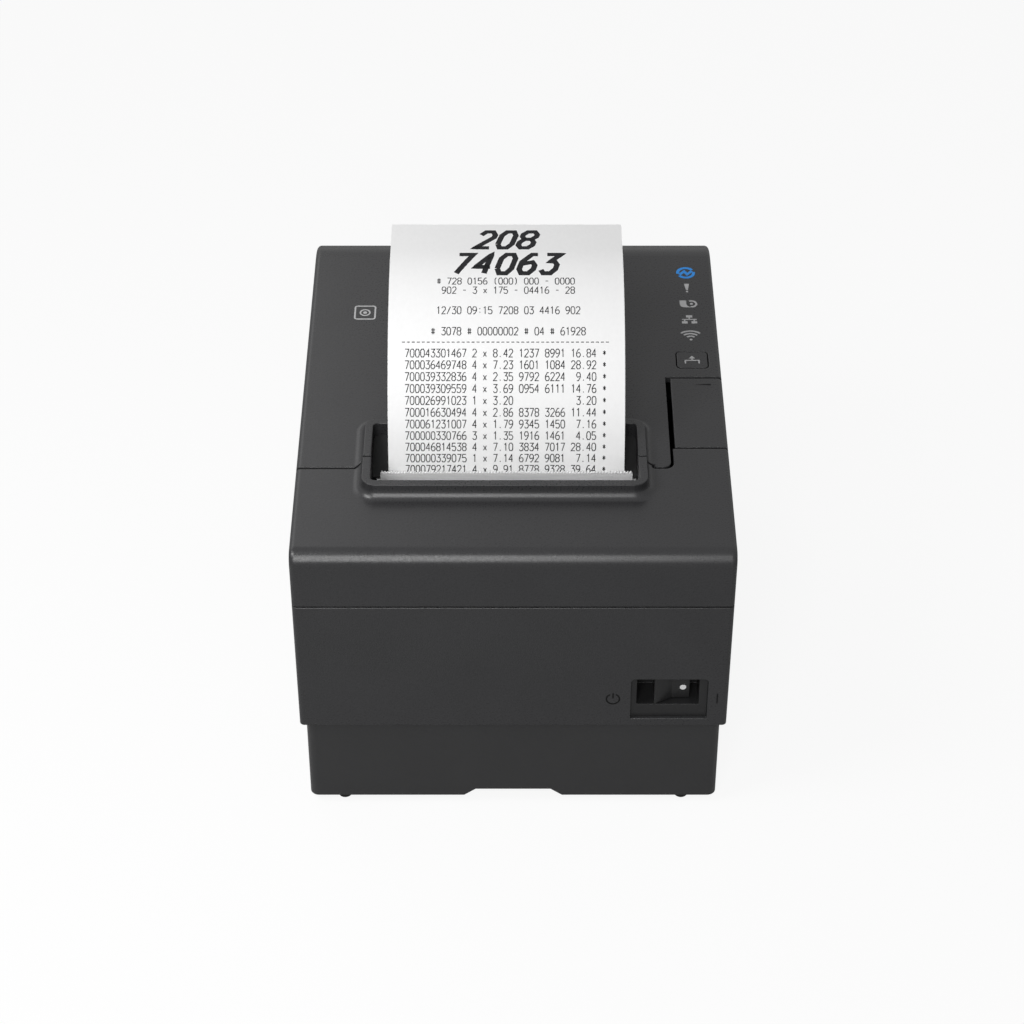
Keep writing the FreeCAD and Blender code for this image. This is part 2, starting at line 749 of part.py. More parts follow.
def base_tray():
    xs = (f"-{BASE_HALF}", BASE_HALF)
    zs = ("base_bottom_z", "base_top_z")
    block = round_block("base_block", xs, (BASE_FRONT, BASE_REAR), zs, "base_corner")
    inner = (f"-{BASE_HALF} + wall", f"{BASE_HALF} - wall")
    inner_y = (f"{BASE_FRONT} + wall", f"{BASE_REAR} - wall")
    upper = box("base_room", inner, inner_y, ("base_floor_z + wall", "base_top_z + wall"))
    under = box("base_under", inner, inner_y, ("base_bottom_z - wall", "base_floor_z"))
    notch_low = "base_bottom_z - wall"
    notch_top = "base_bottom_z + notch_height"
    notch = outline("cable_notch", "XZ", [
        ("-notch_width/2", notch_low),
        ("notch_width/2", notch_low),
        ("notch_width/2", "base_bottom_z"),
        ("notch_width/2 - notch_slant", notch_top),
        ("-notch_width/2 + notch_slant", notch_top),
        ("-notch_width/2", "base_bottom_z"),
    ], "-case_depth", "case_depth")
    bay_y = (f"{BASE_REAR} - 2*wall", f"{BASE_REAR} + wall")
    bay = box("socket_bay", ("-bay_half_width", "bay_half_width"), bay_y, ("bay_low_z", "bay_high_z"))
    pockets = []
    for number, centre in enumerate(FEET):
        span = ("base_bottom_z - wall", "base_floor_z")
        pockets.append(rod(f"foot_pocket{number}", "z", centre, span, "foot_radius + press_fit"))
    tray = cut("base_cut", block, [upper, under, notch, bay] + pockets)
    posts = []
    for number, centre in enumerate(BOARD_POSTS):
        span = ("base_floor_z + wall", "board_z")
        posts.append(tube(f"board_post{number}", "z", centre, span, "post_radius", "screw_hole_radius"))
    keep("base_tray", fuse("base_tray_solid", [tray] + posts))


def rubber_feet():
    feet = []
    for number, centre in enumerate(FEET):
        tip = doc.addObject("Part::Cone", f"foot_tip{number}")
        bind(tip, "Radius1", "foot_tip_radius")
        bind(tip, "Radius2", "foot_radius")
        bind(tip, "Height", "foot_tip_height")
        bind_place(tip, "z", centre, "0")
        stem = rod(f"foot_stem{number}", "z", centre, ("foot_tip_height", "base_floor_z"), "foot_radius")
        feet.append(fuse(f"foot{number}", [tip, stem]))
    keep("rubber_feet", group("feet", feet))


def hinge_lug_span(side, margin):
    middle = f"{side}*({CASE_HALF} - hinge_lug_inset)"
    return f"({middle} - hinge_lug_thick/2 - ({margin}))", f"({middle} + hinge_lug_thick/2 + ({margin}))"


def lower_case():
    all_x = ("-case_width", "case_width")
    lower_z = ("base_top_z", "seam_z - seam_gap/2")
    ring = common("lower_ring", SHELL, box("lower_region", all_x, ("-case_depth", "case_depth"), lower_z))
    tab_front = back("lever_front_back + cover_gap/2")
    tab_rear = back(f"{LEVER_REAR} - cover_gap/2")
    tab_region = outline("lever_side_region", "YZ", [
        (tab_front, "base_top_z"),
        (tab_rear, "base_top_z"),
        (tab_rear, "lever_skirt_z - tab_room - tab_slant"),
        (tab_front, "lever_skirt_z - tab_room"),
    ], "case_width/2 - 2*wall", "case_width")
    tab = common("lever_side", SHELL, tab_region)
    bezel = bezel_block("bezel_hole", back("-wall"), back("2*wall"))
    drop_y = (f"{HINGE_Y} - hinge_radius - hinge_room", "case_depth")
    drop_z = (f"{HINGE_Z} - hinge_radius - hinge_room", "case_depth")
    rear_drop = box("rear_drop", all_x, drop_y, drop_z)
    body = cut("lower_cut", fuse("lower_walls", [ring, tab] + seam_lips()), [bezel, rear_drop])
    lugs = []
    under_bead = f"{HINGE_Z} - hinge_radius - stem_lead"
    for number, side in enumerate(SIDES):
        span = hinge_lug_span(side, "0")
        lugs.append(rod(f"knuckle{number}", "x", (HINGE_Y, HINGE_Z), span, "hinge_radius - part_gap"))
        lugs.append(outline(f"knuckle_stem{number}", "YZ", [
            (f"{HINGE_Y} - stem_reach", HINGE_Z),
            (f"{HINGE_Y} - stem_reach", f"{HINGE_Z} - stem_drop"),
            ("case_depth/2 - wall/2", f"{HINGE_Z} - stem_drop - stem_toe"),
            ("case_depth/2 - wall/2", under_bead),
            (f"{HINGE_Y} + stem_lead", under_bead),
            (f"{HINGE_Y} + stem_lead", HINGE_Z),
        ], span[0], span[1]))
    bore_span = (f"-{CASE_HALF}", CASE_HALF)
    pin_bore = rod("pin_bore", "x", (HINGE_Y, HINGE_Z), bore_span, "hinge_pin_radius + press_fit")
    keep("lower_case", cut("lower_case_solid", fuse("lower_lugs", [body] + lugs), [pin_bore]))


def seam_lips():
    """Lips inside the seam, on the front and both sides, that stand up behind the covers' lower edges."""
    inner = "(wall + lip_room + lip_thick)"
    foot = ("wall/2", "seam_z - lip_foot", "seam_z - lip_thick")
    blade = ("(wall + lip_room)", "seam_z - lip_foot/2", "seam_z + lip_height")
    lips = []
    for part, (outer, low, high) in (("foot", foot), ("blade", blade)):
        near = half_width_at("seam_z", inner)
        far = half_width_at("seam_z", outer)
        lips.append(box(f"front_lip_{part}", (f"-{far}", far), (back(outer), back(inner)), (low, high)))
        along = (back(outer), f"{HINGE_Y} - 3*hinge_radius")
        lips.append(box(f"left_lip_{part}", (f"-{far}", f"-{near}"), along, (low, high)))
        lips.append(box(f"right_lip_{part}", (near, far), along, (low, high)))
    return lips


def hinge_pins():
    pins = []
    for number, side in enumerate(SIDES):
        span = hinge_lug_span(side, "hinge_pin_reach")
        pins.append(rod(f"hinge_pin{number}", "x", (HINGE_Y, HINGE_Z), span, "hinge_pin_radius"))
    keep("hinge_pins", group("hinge_pin_pair", pins))


def trough(name, radius, xs, rear_top, ramp_end):
    """A round-bottomed trough for the roll, with a straight ramp up to the print head."""
    foot = (f"(pan_back - {radius}*sin(ramp_angle))", f"(pan_z - {radius}*cos(ramp_angle))")
    head = (f"({foot[0]} - ramp_length*cos(ramp_angle))", f"({foot[1]} + ramp_length*sin(ramp_angle))")
    drum = rod(name + "_drum", "x", (back("pan_back"), "pan_z"), xs, radius)
    well = box(name + "_well", xs, (back("pan_back"), back(f"pan_back + {radius}")), ("pan_z", rear_top))
    ramp = outline(name + "_ramp", "YZ", [
        (back(foot[0]), foot[1]),
        (back(head[0]), head[1]),
        (back(head[0]), f"{head[1]} + {ramp_end}"),
        (back("pan_back"), f"{head[1]} + {ramp_end}"),
        (back("pan_back"), "pan_z"),
    ], xs[0], xs[1])
    return fuse(name, [drum, well, ramp])


def roll_pan():
    outer_radius = "(pan_radius + pan_wall)"
    outer_x = (PAN_WALL_LEFT, PAN_WALL_RIGHT)
    outside = trough("pan_outside", outer_radius, outer_x, "pan_rear_top_z", "ramp_lip")
    inside = trough("pan_inside", "pan_radius", (PAN_LEFT, PAN_RIGHT), "front_height", "front_height")
    deck_half = half_width_at("base_top_z", "wall + part_gap")
    deck_y = (back("wall + part_gap"), "case_depth/2 - wall - part_gap")
    deck = box("pan_deck", (f"-{deck_half}", deck_half), deck_y, ("base_top_z", DECK_TOP))
    room_x = (f"{BEZEL_LEFT} - bezel_clear", f"{BEZEL_RIGHT} + bezel_clear")
    room_y = (back("0"), back("well_depth + well_back_wall + wall"))
    bezel_room = box("bezel_room", room_x, room_y, ("base_top_z - bezel_clear", f"{DECK_TOP} + bezel_clear"))
    cap_z = ("pan_rear_top_z", "2*case_depth")
    cap = box("pan_cap", ("-case_width", "case_width"), ("-case_depth", "case_depth"), cap_z)
    keep("roll_pan", cut("roll_pan_solid", fuse("pan_walls", [outside, deck]), [inside, bezel_room, cap]))
    sensor_x = (PAN_WALL_RIGHT, f"{PAN_WALL_RIGHT} + sensor_thick")
    sensor_y = (back("(pan_back - sensor_half)"), back("(pan_back + sensor_half)"))
    sensor_z = ("pan_z - sensor_drop - sensor_thick", "pan_z - sensor_drop + sensor_thick")
    keep("paper_sensor", box("sensor_block", sensor_x, sensor_y, sensor_z))


# Print mechanism


def side_frames():
    step = "(nip_back + frame_step_room)"
    profile = [
        (back("frame_front_back"), DECK_TOP),
        (back("frame_rear_back"), DECK_TOP),
        (back("frame_rear_back"), "frame_shoulder_z"),
        (back("frame_shoulder_back"), "frame_step_z"),
        (back(step), "frame_step_z"),
        (back(step), "frame_top_z"),
        (back("frame_front_back"), "frame_top_z"),
    ]
    left = outline("left_plate", "YZ", profile, f"{LEFT_FRAME} - frame_thick", LEFT_FRAME)
    hole_span = (f"{LEFT_FRAME} - 2*frame_thick", f"{LEFT_FRAME} + frame_thick")
    hole_radius = "motor_shaft_radius + motor_hole_room"
    shaft_hole = rod("pinion_hole", "x", (PINION_Y, PINION_Z), hole_span, hole_radius)
    keep("left_frame", cut("left_frame_solid", left, [shaft_hole]))
    keep("right_frame", outline("right_plate", "YZ", profile, RIGHT_FRAME, f"{RIGHT_FRAME} + frame_thick"))


def print_head():
    face = "(nip_back - head_room)"
    sink_rear = f"({face} - head_thick)"
    sink_front = f"({sink_rear} - sink_thick)"
    bar_rear = f"({sink_front} - spring_length)"
    head_x = (f"{PAPER_LEFT} - head_overhang", f"{PAPER_RIGHT} + head_overhang")
    keep("thermal_head", box("head_strip", head_x, (back(sink_rear), back(face)), (HEAD_LOW, HEAD_HIGH)))
    sink_x = (f"{PAPER_LEFT} - sink_overhang", f"{PAPER_RIGHT} + sink_overhang")
    sink_z = (f"{HEAD_LOW} - sink_drop", HEAD_HIGH)
    keep("head_heat_sink", box("sink_block", sink_x, (back(sink_front), back(sink_rear)), sink_z))
    springs = []
    for number, side in enumerate(SIDES):
        centre = (f"-paper_shift + {side}*paper_width/4", f"({HEAD_LOW} + {HEAD_HIGH})/2")
        span = (back(bar_rear), back(sink_front))
        inner = "spring_radius - spring_wire"
        springs.append(tube(f"head_spring{number}", "y", centre, span, "spring_radius", inner))
    keep("head_springs", group("head_spring_pair", springs))
    bar_y = (back(f"({bar_rear} - cross_bar_thick)"), back(bar_rear))
    bar_z = ("cross_bar_low_z", "frame_top_z - cross_bar_drop")
    keep("cross_bar", box("cross_bar_plate", (LEFT_FRAME, RIGHT_FRAME), bar_y, bar_z))


def feed_drive():
    axis = (PINION_Y, PINION_Z)
    can = rod("motor_can", "x", axis, (LEFT_FRAME, f"{LEFT_FRAME} + motor_length"), "motor_radius")
    bore_span = (f"{LEFT_FRAME} - frame_thick", f"{LEFT_FRAME} + motor_length/2")
    bore = rod("motor_bore", "x", axis, bore_span, "motor_shaft_radius + running_fit")
    keep("feed_motor", cut("feed_motor_solid", can, [bore]))
    shaft_span = (f"{GEAR_LEFT} - shaft_stub", f"{LEFT_FRAME} + motor_length/2 - motor_shaft_room")
    keep("motor_shaft", rod("motor_shaft_rod", "x", axis, shaft_span, "motor_shaft_radius"))
    span = (GEAR_LEFT, GEAR_RIGHT)
    drive_axis = (PLATEN_Y, DRIVE_Z)
    stud_span = (f"{GEAR_LEFT} - shaft_stub", f"{LEFT_FRAME} - frame_thick")
    keep("gear_stud", rod("stud", "x", drive_axis, stud_span, "stud_radius"))
    platen_axis = (PLATEN_Y, "platen_z")
    platen_bore = "shaft_radius + press_fit"
    keep("platen_gear", gear("platen_gear_body", "x", platen_axis, span, "platen_teeth", platen_bore, "-90"))
    # A tooth of the platen's gear points straight down, so a gap of the drive gear points straight up
    drive_phase = "(90 + 180/drive_teeth)"
    drive_bore = "stud_radius + running_fit"
    keep("drive_gear", gear("drive_gear_body", "x", drive_axis, span, "drive_teeth", drive_bore, drive_phase))
    meeting = "(180 + pinion_bearing)"
    steps = f"(({meeting} - {drive_phase})*drive_teeth/360)"
    phase = f"({meeting} - 180 + 180/pinion_teeth + ({steps} - floor({steps}))*360/pinion_teeth)"
    pinion_bore = "motor_shaft_radius + press_fit"
    keep("motor_pinion", gear("motor_pinion_body", "x", axis, span, "pinion_teeth", pinion_bore, phase))


def platen():
    centre = (PLATEN_Y, "platen_z")
    shaft_span = (f"{GEAR_LEFT} - shaft_stub", PAN_WALL_RIGHT)
    keep("platen_shaft", rod("platen_rod", "x", centre, shaft_span, "shaft_radius"))
    sleeve_span = (f"{PAPER_LEFT} - platen_overhang", f"{PAPER_RIGHT} + platen_overhang")
    sleeve_bore = "shaft_radius + press_fit"
    keep("platen_rubber", tube("platen_sleeve", "x", centre, sleeve_span, "platen_radius", sleeve_bore))
    web_front = f"{PLATEN_Y} + platen_radius + arm_web_room"
    web_rear = f"{web_front} + arm_web_thick"
    web_low = "platen_z - arm_web_drop"
    arm_low = "platen_z - bush_radius - arm_rim"
    arm_profile = [
        (f"{PLATEN_Y} - arm_front", arm_low),
        (f"{PLATEN_Y} + arm_heel", arm_low),
        (web_rear, web_low),
        (web_rear, FIXED_BLADE_LOW),
        (f"{PLATEN_Y} - arm_front", FIXED_BLADE_LOW),
    ]
    bushes = []
    arms = []
    holes = []
    for number, (low, high) in enumerate([(PAN_WALL_LEFT, PAN_LEFT), (PAN_RIGHT, PAN_WALL_RIGHT)]):
        bush_bore = "shaft_radius + running_fit"
        bushes.append(tube(f"bush{number}", "x", centre, (low, high), "bush_radius - press_fit", bush_bore))
        arms.append(outline(f"platen_arm{number}", "YZ", arm_profile, low, high))
        holes.append(rod(f"bush_seat{number}", "x", centre, (low, high), "bush_radius"))
    web = box("platen_web", (PAN_LEFT, PAN_RIGHT), (web_front, web_rear), (web_low, FIXED_BLADE_LOW))
    keep("platen_bushes", group("bush_pair", bushes))
    keep("platen_carrier", cut("platen_carrier_solid", fuse("platen_arms", arms + [web]), holes))


def cutter():
    plate_x = (f"{LEFT_FRAME} - frame_thick", f"{RIGHT_FRAME} + frame_thick")
    plate_y = (back("frame_front_back"), back("(nip_back - head_room)"))
    plate_z = ("frame_top_z", CUTTER_TOP)
    plate = box("cutter_plate", plate_x, plate_y, plate_z)
    margin = "(cutter_motor_radius + wing_margin)"
    wing_y = (f"{CUTTER_GEAR_Y} - {margin}", f"{CUTTER_GEAR_Y} + {margin}")
    wing = box("cutter_wing", (RIGHT_FRAME, f"{CUTTER_GEAR_X} + {margin}"), wing_y, plate_z)
    centre = (CUTTER_GEAR_X, CUTTER_GEAR_Y)
    hole_radius = "cutter_shaft_radius + running_fit"
    shaft_low = "frame_top_z - cutter_shaft_depth"
    bore = rod("cutter_bore", "z", centre, (f"{shaft_low} - cutter_shaft_room", BLADE_LOW), hole_radius)
    keep("cutter_base", cut("cutter_base_solid", fuse("cutter_plates", [plate, wing]), [bore]))
    can_span = ("frame_top_z - cutter_motor_length", "frame_top_z")
    can = rod("cutter_can", "z", centre, can_span, "cutter_motor_radius")
    keep("cutter_motor", cut("cutter_motor_solid", can, [bore]))
    shaft_span = (shaft_low, f"{BLADE_HIGH} + cutter_shaft_rise")
    keep("cutter_shaft", rod("cutter_shaft_rod", "z", centre, shaft_span, "cutter_shaft_radius"))
    gear_span = (BLADE_LOW, f"{BLADE_HIGH} + cutter_gear_rise")
    gear_bore = "cutter_shaft_radius + press_fit"
    phase = "180 + 180/cutter_teeth"
    keep("cutter_gear", gear("cutter_gear_body", "z", centre, gear_span, "cutter_teeth", gear_bore, phase))
    cutter_blade()
    fixed_y = (back("(receipt_start_back + fixed_blade_room)"), f"{PLATEN_Y} + platen_radius + arm_web_room")
    fixed_z = (FIXED_BLADE_LOW, FIXED_BLADE_HIGH)
    keep("fixed_blade", box("fixed_blade_plate", (PAN_WALL_LEFT, PAN_WALL_RIGHT), fixed_y, fixed_z))
    tear_bar()


def cutter_blade():
    """The moving blade: a V-edged plate with rack teeth along its right side, level with the cutter gear."""
    edge = back("blade_edge_back")
    rear = back("(blade_edge_back - blade_depth)")
    pitch = "pi*gear_module"
    points = [(BLADE_LEFT, rear), (BLADE_RIGHT, rear)]
    for tooth in range(int(SIZES["rack_teeth"])):
        middle = f"({CUTTER_GEAR_Y} + ({tooth} - rack_teeth + 2)*{pitch})"
        for out, aside in (("0", "-0.9"), ("1.9", "-0.28"), ("1.9", "0.28"), ("0", "0.9")):
            points.append((f"{BLADE_RIGHT} + {out}*gear_module", f"{middle} + ({aside})*gear_module"))
    points += [(BLADE_RIGHT, edge), ("-paper_shift", f"{edge} - blade_notch"), (BLADE_LEFT, edge)]
    keep("cutter_blade", outline("cutter_blade_body", "XY", points, BLADE_LOW, BLADE_HIGH))


def tear_bar():
    """A plate with a row of saw teeth on its top edge, on two legs that stand on the cutter's base plate."""
    left = f"({PAPER_LEFT} - tear_bar_overhang)"
    right = f"({PAPER_RIGHT} + tear_bar_overhang)"
    rear = back("(nip_back - tear_bar_room)")
    front = back("(nip_back - tear_bar_room - tear_bar_thick)")
    gullet = "(tear_bar_top_z - tear_tooth_depth)"
    corners = [(left, "tear_bar_low_z"), (right, "tear_bar_low_z"), (right, gullet), (left, gullet)]
    blade = outline("tear_blade", "XZ", corners, front, rear)
    count = f"floor(({right} - {left})/tear_tooth_pitch)"
    pitch = f"(({right} - {left})/{count})"
    sketch = new_sketch(blade, "tear_tooth_sketch", "XZ")
    bind(sketch, "AttachmentOffset.Base.z", f"-({rear})")
    draw_polygon(sketch, [
        (left, gullet),
        (f"{left} + {pitch}", gullet),
        (f"{left} + {pitch}/2", "tear_bar_top_z"),
    ])
    tooth = pad(blade, "tear_tooth", sketch, "tear_bar_thick")
    row = blade.newObject("PartDesign::LinearPattern", "tear_teeth")
    row.Originals = [tooth]
    row.Direction = (sketch, ["H_Axis"])
    bind(row, "Length", f"{right} - {left} - {pitch}")
    bind(row, "Occurrences", count)
    blade.Tip = row
    doc.recompute()
    pieces = [blade]
    leg_z = (CUTTER_TOP, "tear_bar_top_z - tear_leg_drop")
    for number, xs in enumerate([(f"{left} - tear_leg_width", left), (right, f"{right} + tear_leg_width")]):
        pieces.append(box(f"tear_leg{number}", xs, (front, rear), leg_z))
    keep("tear_bar", fuse("tear_bar_solid", pieces))


# Paper


def paper_roll():
    centre = (back("pan_back"), ROLL_Z)
    across = (PAPER_LEFT, PAPER_RIGHT)
    keep("paper_roll", tube("roll_ring", "x", centre, across, "roll_radius", "core_outer_radius + press_fit"))
    keep("roll_core", tube("core_ring", "x", centre, across, "core_outer_radius", "core_inner_radius"))


def paper_web():
    """The web leaves the roll's underside, runs up the ramp and stands in the nip, up to the cutter."""
    bend = ("(nip_back - web_lead)", f"({HEAD_LOW} - sink_drop)")
    clear = "(roll_radius + part_gap)"
    along = f"(pan_back - {bend[0]})"
    rise = f"({bend[1]} - {ROLL_Z})"
    reach = f"sqrt({along}^2 + {rise}^2 - {clear}^2)"
    dip = f"(atan({rise}/{along}) + atan({clear}/{reach}))"
    foot = (f"({bend[0]} + {reach}*cos({dip}))", f"({bend[1]} - {reach}*sin({dip}))")
    top = f"({BLADE_LOW} - web_top_room)"
    under = (f"({foot[0]} - paper_thick*sin({dip}))", f"({foot[1]} - paper_thick*cos({dip}))")
    front = f"({bend[0]} - paper_thick)"
    keep("paper_web", outline("web", "YZ", [
        (back(foot[0]), foot[1]),
        (back(bend[0]), bend[1]),
        (back(bend[0]), top),
        (back(front), top),
        (back(front), f"{bend[1]} - paper_thick*tan((90 deg - {dip})/2)"),
        (back(under[0]), under[1]),
    ], PAPER_LEFT, PAPER_RIGHT, [([1], "web_bend"), ([4], "web_bend + paper_thick")]))


def receipt():
    """The printed slip: steep out of the slot, then one long bend back to nearly level."""
    rise = "tan(receipt_pitch)"
    level = "tan(receipt_top_rise)"
    start = ("receipt_start_back", "receipt_start_z")
    end = ("receipt_end_back", "receipt_top_z")
    knee_along = f"(({end[1]} - {start[1]} + {start[0]}*{rise} - {end[0]}*{level})/({rise} - {level}))"
    knee = (knee_along, f"({start[1]} + ({knee_along} - {start[0]})*{rise})")
    half_turn = "((receipt_pitch - receipt_top_rise)/2)"
    mean_lean = "((receipt_pitch + receipt_top_rise)/2)"
    miter = f"(paper_thick/cos({half_turn}))"
    line = [start, knee, end]
    shifts = [
        ("paper_thick", "receipt_pitch"),
        (miter, mean_lean),
        ("paper_thick", "receipt_top_rise"),
    ]
    points = [(back(along), height) for along, height in line]
    for (along, height), (thick, lean) in reversed(list(zip(line, shifts))):
        points.append((back(f"({along} - {thick}*sin({lean}))"), f"{height} + {thick}*cos({lean})"))
    bends = [([1], "receipt_bend"), ([4], "receipt_bend + paper_thick")]
    keep("receipt", outline("receipt_slip", "YZ", points, PAPER_LEFT, PAPER_RIGHT, bends))


# Covers, lever and keys


def sloped_slab(name, xs, near, far, high_drop, low_drop):
    """A slab parallel with the top, from one distance behind the front face to another."""
    return outline(name, "YZ", [
        (back(f"({near})"), top_at(near, low_drop)),
        (back(f"({far})"), top_at(far, low_drop)),
        (back(f"({far})"), top_at(far, high_drop)),
        (back(f"({near})"), top_at(near, high_drop)),
    ], xs[0], xs[1])


def button_plan(name, margin, zs):
    """An upright block with the feed button's plan, grown by a margin."""
    xs = (f"{BUTTON_X} - button_width/2 - {margin}", f"{BUTTON_X} + button_width/2 + {margin}")
    near = f"({BUTTON_BACK} - button_depth/2 - {margin})"
    far = f"({BUTTON_BACK} + button_depth/2 + {margin})"
    return round_block(name, xs, (back(near), back(far)), zs, f"button_corner + {margin}")


def roll_cover():
    shell = common("roll_cover_share", SHELL, ROLL_REGION)
    half = half_width_at(HINGE_Z, "bead_inset")
    bead = rod("hinge_bead", "x", (HINGE_Y, HINGE_Z), (f"-{half}", half), "hinge_radius")
    post_x = (f"{TONGUE_LEFT} + latch_post_left", f"{TONGUE_RIGHT} - latch_post_right")
    post_half = "(latch_pin_radius + latch_post_margin)"
    post_y = (back(f"(latch_back - {post_half})"), back(f"(latch_back + {post_half})"))
    post_z = ("latch_z - latch_pin_radius - latch_post_drop", top_at("latch_back", "wall/2"))
    added = [shell, bead, box("latch_post", post_x, post_y, post_z)]
    pegs = (f"{LIGHTS_FRONT} - peg_lead", f"{LIGHTS_FRONT} + 4*lights_pitch + peg_lead")
    for number, far in enumerate(pegs):
        peg_z = (top_at(far, "wall + key_board_drop - peg_gap"), top_at(far, "wall/2"))
        centre = (f"{LIGHTS_X} - peg_offset", back(f"({far})"))
        added.append(rod(f"board_peg{number}", "z", centre, peg_z, "peg_radius"))
    all_x = ("-case_width", "case_width")
    tools = [rod("cover_pin_bore", "x", (HINGE_Y, HINGE_Z), all_x, "hinge_pin_radius + running_fit")]
    pocket_y = (f"{HINGE_Y} - hinge_radius - 2*running_fit", f"{HINGE_Y} + stem_lead + part_gap")
    pocket_z = (f"{HINGE_Z} - stem_drop - stem_toe", HINGE_Z)
    for number, side in enumerate(SIDES):
        span = hinge_lug_span(side, "part_gap")
        pocket_radius = "hinge_radius + 2*running_fit"
        tools.append(rod(f"knuckle_pocket{number}", "x", (HINGE_Y, HINGE_Z), span, pocket_radius))
        tools.append(box(f"stem_pocket{number}", span, pocket_y, pocket_z))
    tools.append(button_plan("button_hole", "button_room", ("seam_z", "front_height + rear_radius")))
    keep("roll_cover_shell", cut("roll_cover_solid", fuse("roll_cover_joined", added), tools))
    pin_span = (post_x[1], f"{LEVER_LEFT} + latch_pin_reach")
    pin_centre = (back("latch_back"), "latch_z")
    keep("latch_pin", rod("latch_pin_rod", "x", pin_centre, pin_span, "latch_pin_radius"))


def exit_guide():
    """A wedge that fills the rear of the slot and leads the slip up to the rim."""
    near = back("(receipt_start_back + guide_room)")
    far = back("(rim_rear_back - rim_wall)")
    wedge = outline("exit_wedge", "YZ", [
        (near, FIXED_BLADE_HIGH),
        (far, FIXED_BLADE_HIGH),
        (far, top_at("rim_rear_back", "guide_drop")),
        (near, f"{FIXED_BLADE_HIGH} + guide_lip"),
    ], RIM_LEFT, RIM_RIGHT)
    plan = raised_rim("exit_plan", "rim_wall + running_fit", "seam_z", "rim_height")
    keep("exit_guide", common("exit_guide_solid", wedge, plan))


def keys():
    near = f"({BUTTON_BACK} - button_depth/2)"
    far = f"({BUTTON_BACK} + button_depth/2)"
    button_xs = (f"{BUTTON_X} - button_width/2", f"{BUTTON_X} + button_width/2")
    flange_low = "(wall + button_flange_room + button_flange_thick)"
    cap_block = sloped_slab("button_cap_block", button_xs, near, far, "-button_proud", flange_low)
    cap_plan = button_plan("button_plan", "0", ("seam_z", "front_height + rear_radius"))
    flange_xs = (f"{button_xs[0]} - button_flange", f"{button_xs[1]} + button_flange")
    flange_ends = (f"({near} - button_flange)", f"({far} + button_flange)")
    flange_high = "wall + button_flange_room"
    flange = sloped_slab("button_flange_slab", flange_xs, *flange_ends, flange_high, flange_low)
    keep("feed_button", fuse("feed_button_solid", [common("button_cap", cap_block, cap_plan), flange]))
    board_top = "(wall + key_board_drop)"
    board_xs = (f"{LIGHTS_X} - key_board_left", f"{LIGHTS_X} + key_board_right")
    board_ends = (f"({BUTTON_BACK} - button_depth)", f"({LIGHTS_FRONT} + 5*lights_pitch)")
    board_low = f"{board_top} + board_thick"
    keep("key_board", sloped_slab("key_board_slab", board_xs, *board_ends, board_top, board_low))
    switch_xs = (f"{BUTTON_X} - key_switch_half", f"{BUTTON_X} + key_switch_half")
    switch_ends = (f"({BUTTON_BACK} - key_switch_half)", f"({BUTTON_BACK} + key_switch_half)")
    switch_top = f"{flange_low} + button_travel + key_switch_gap"
    keep("key_switch", sloped_slab("key_switch_block", switch_xs, *switch_ends, switch_top, board_top))
    pipe_xs = (f"{LIGHTS_X} - light_pipe_half", f"{LIGHTS_X} + light_pipe_half")
    pipes = []
    for number in range(5):
        middle = f"({LIGHTS_FRONT} + {number}*lights_pitch)"
        ends = (f"({middle} - light_pipe_half)", f"({middle} + light_pipe_half)")
        pipes.append(sloped_slab(f"light_pipe{number}", pipe_xs, *ends, "wall", board_top))
    keep("light_pipes", group("light_pipe_row", pipes))


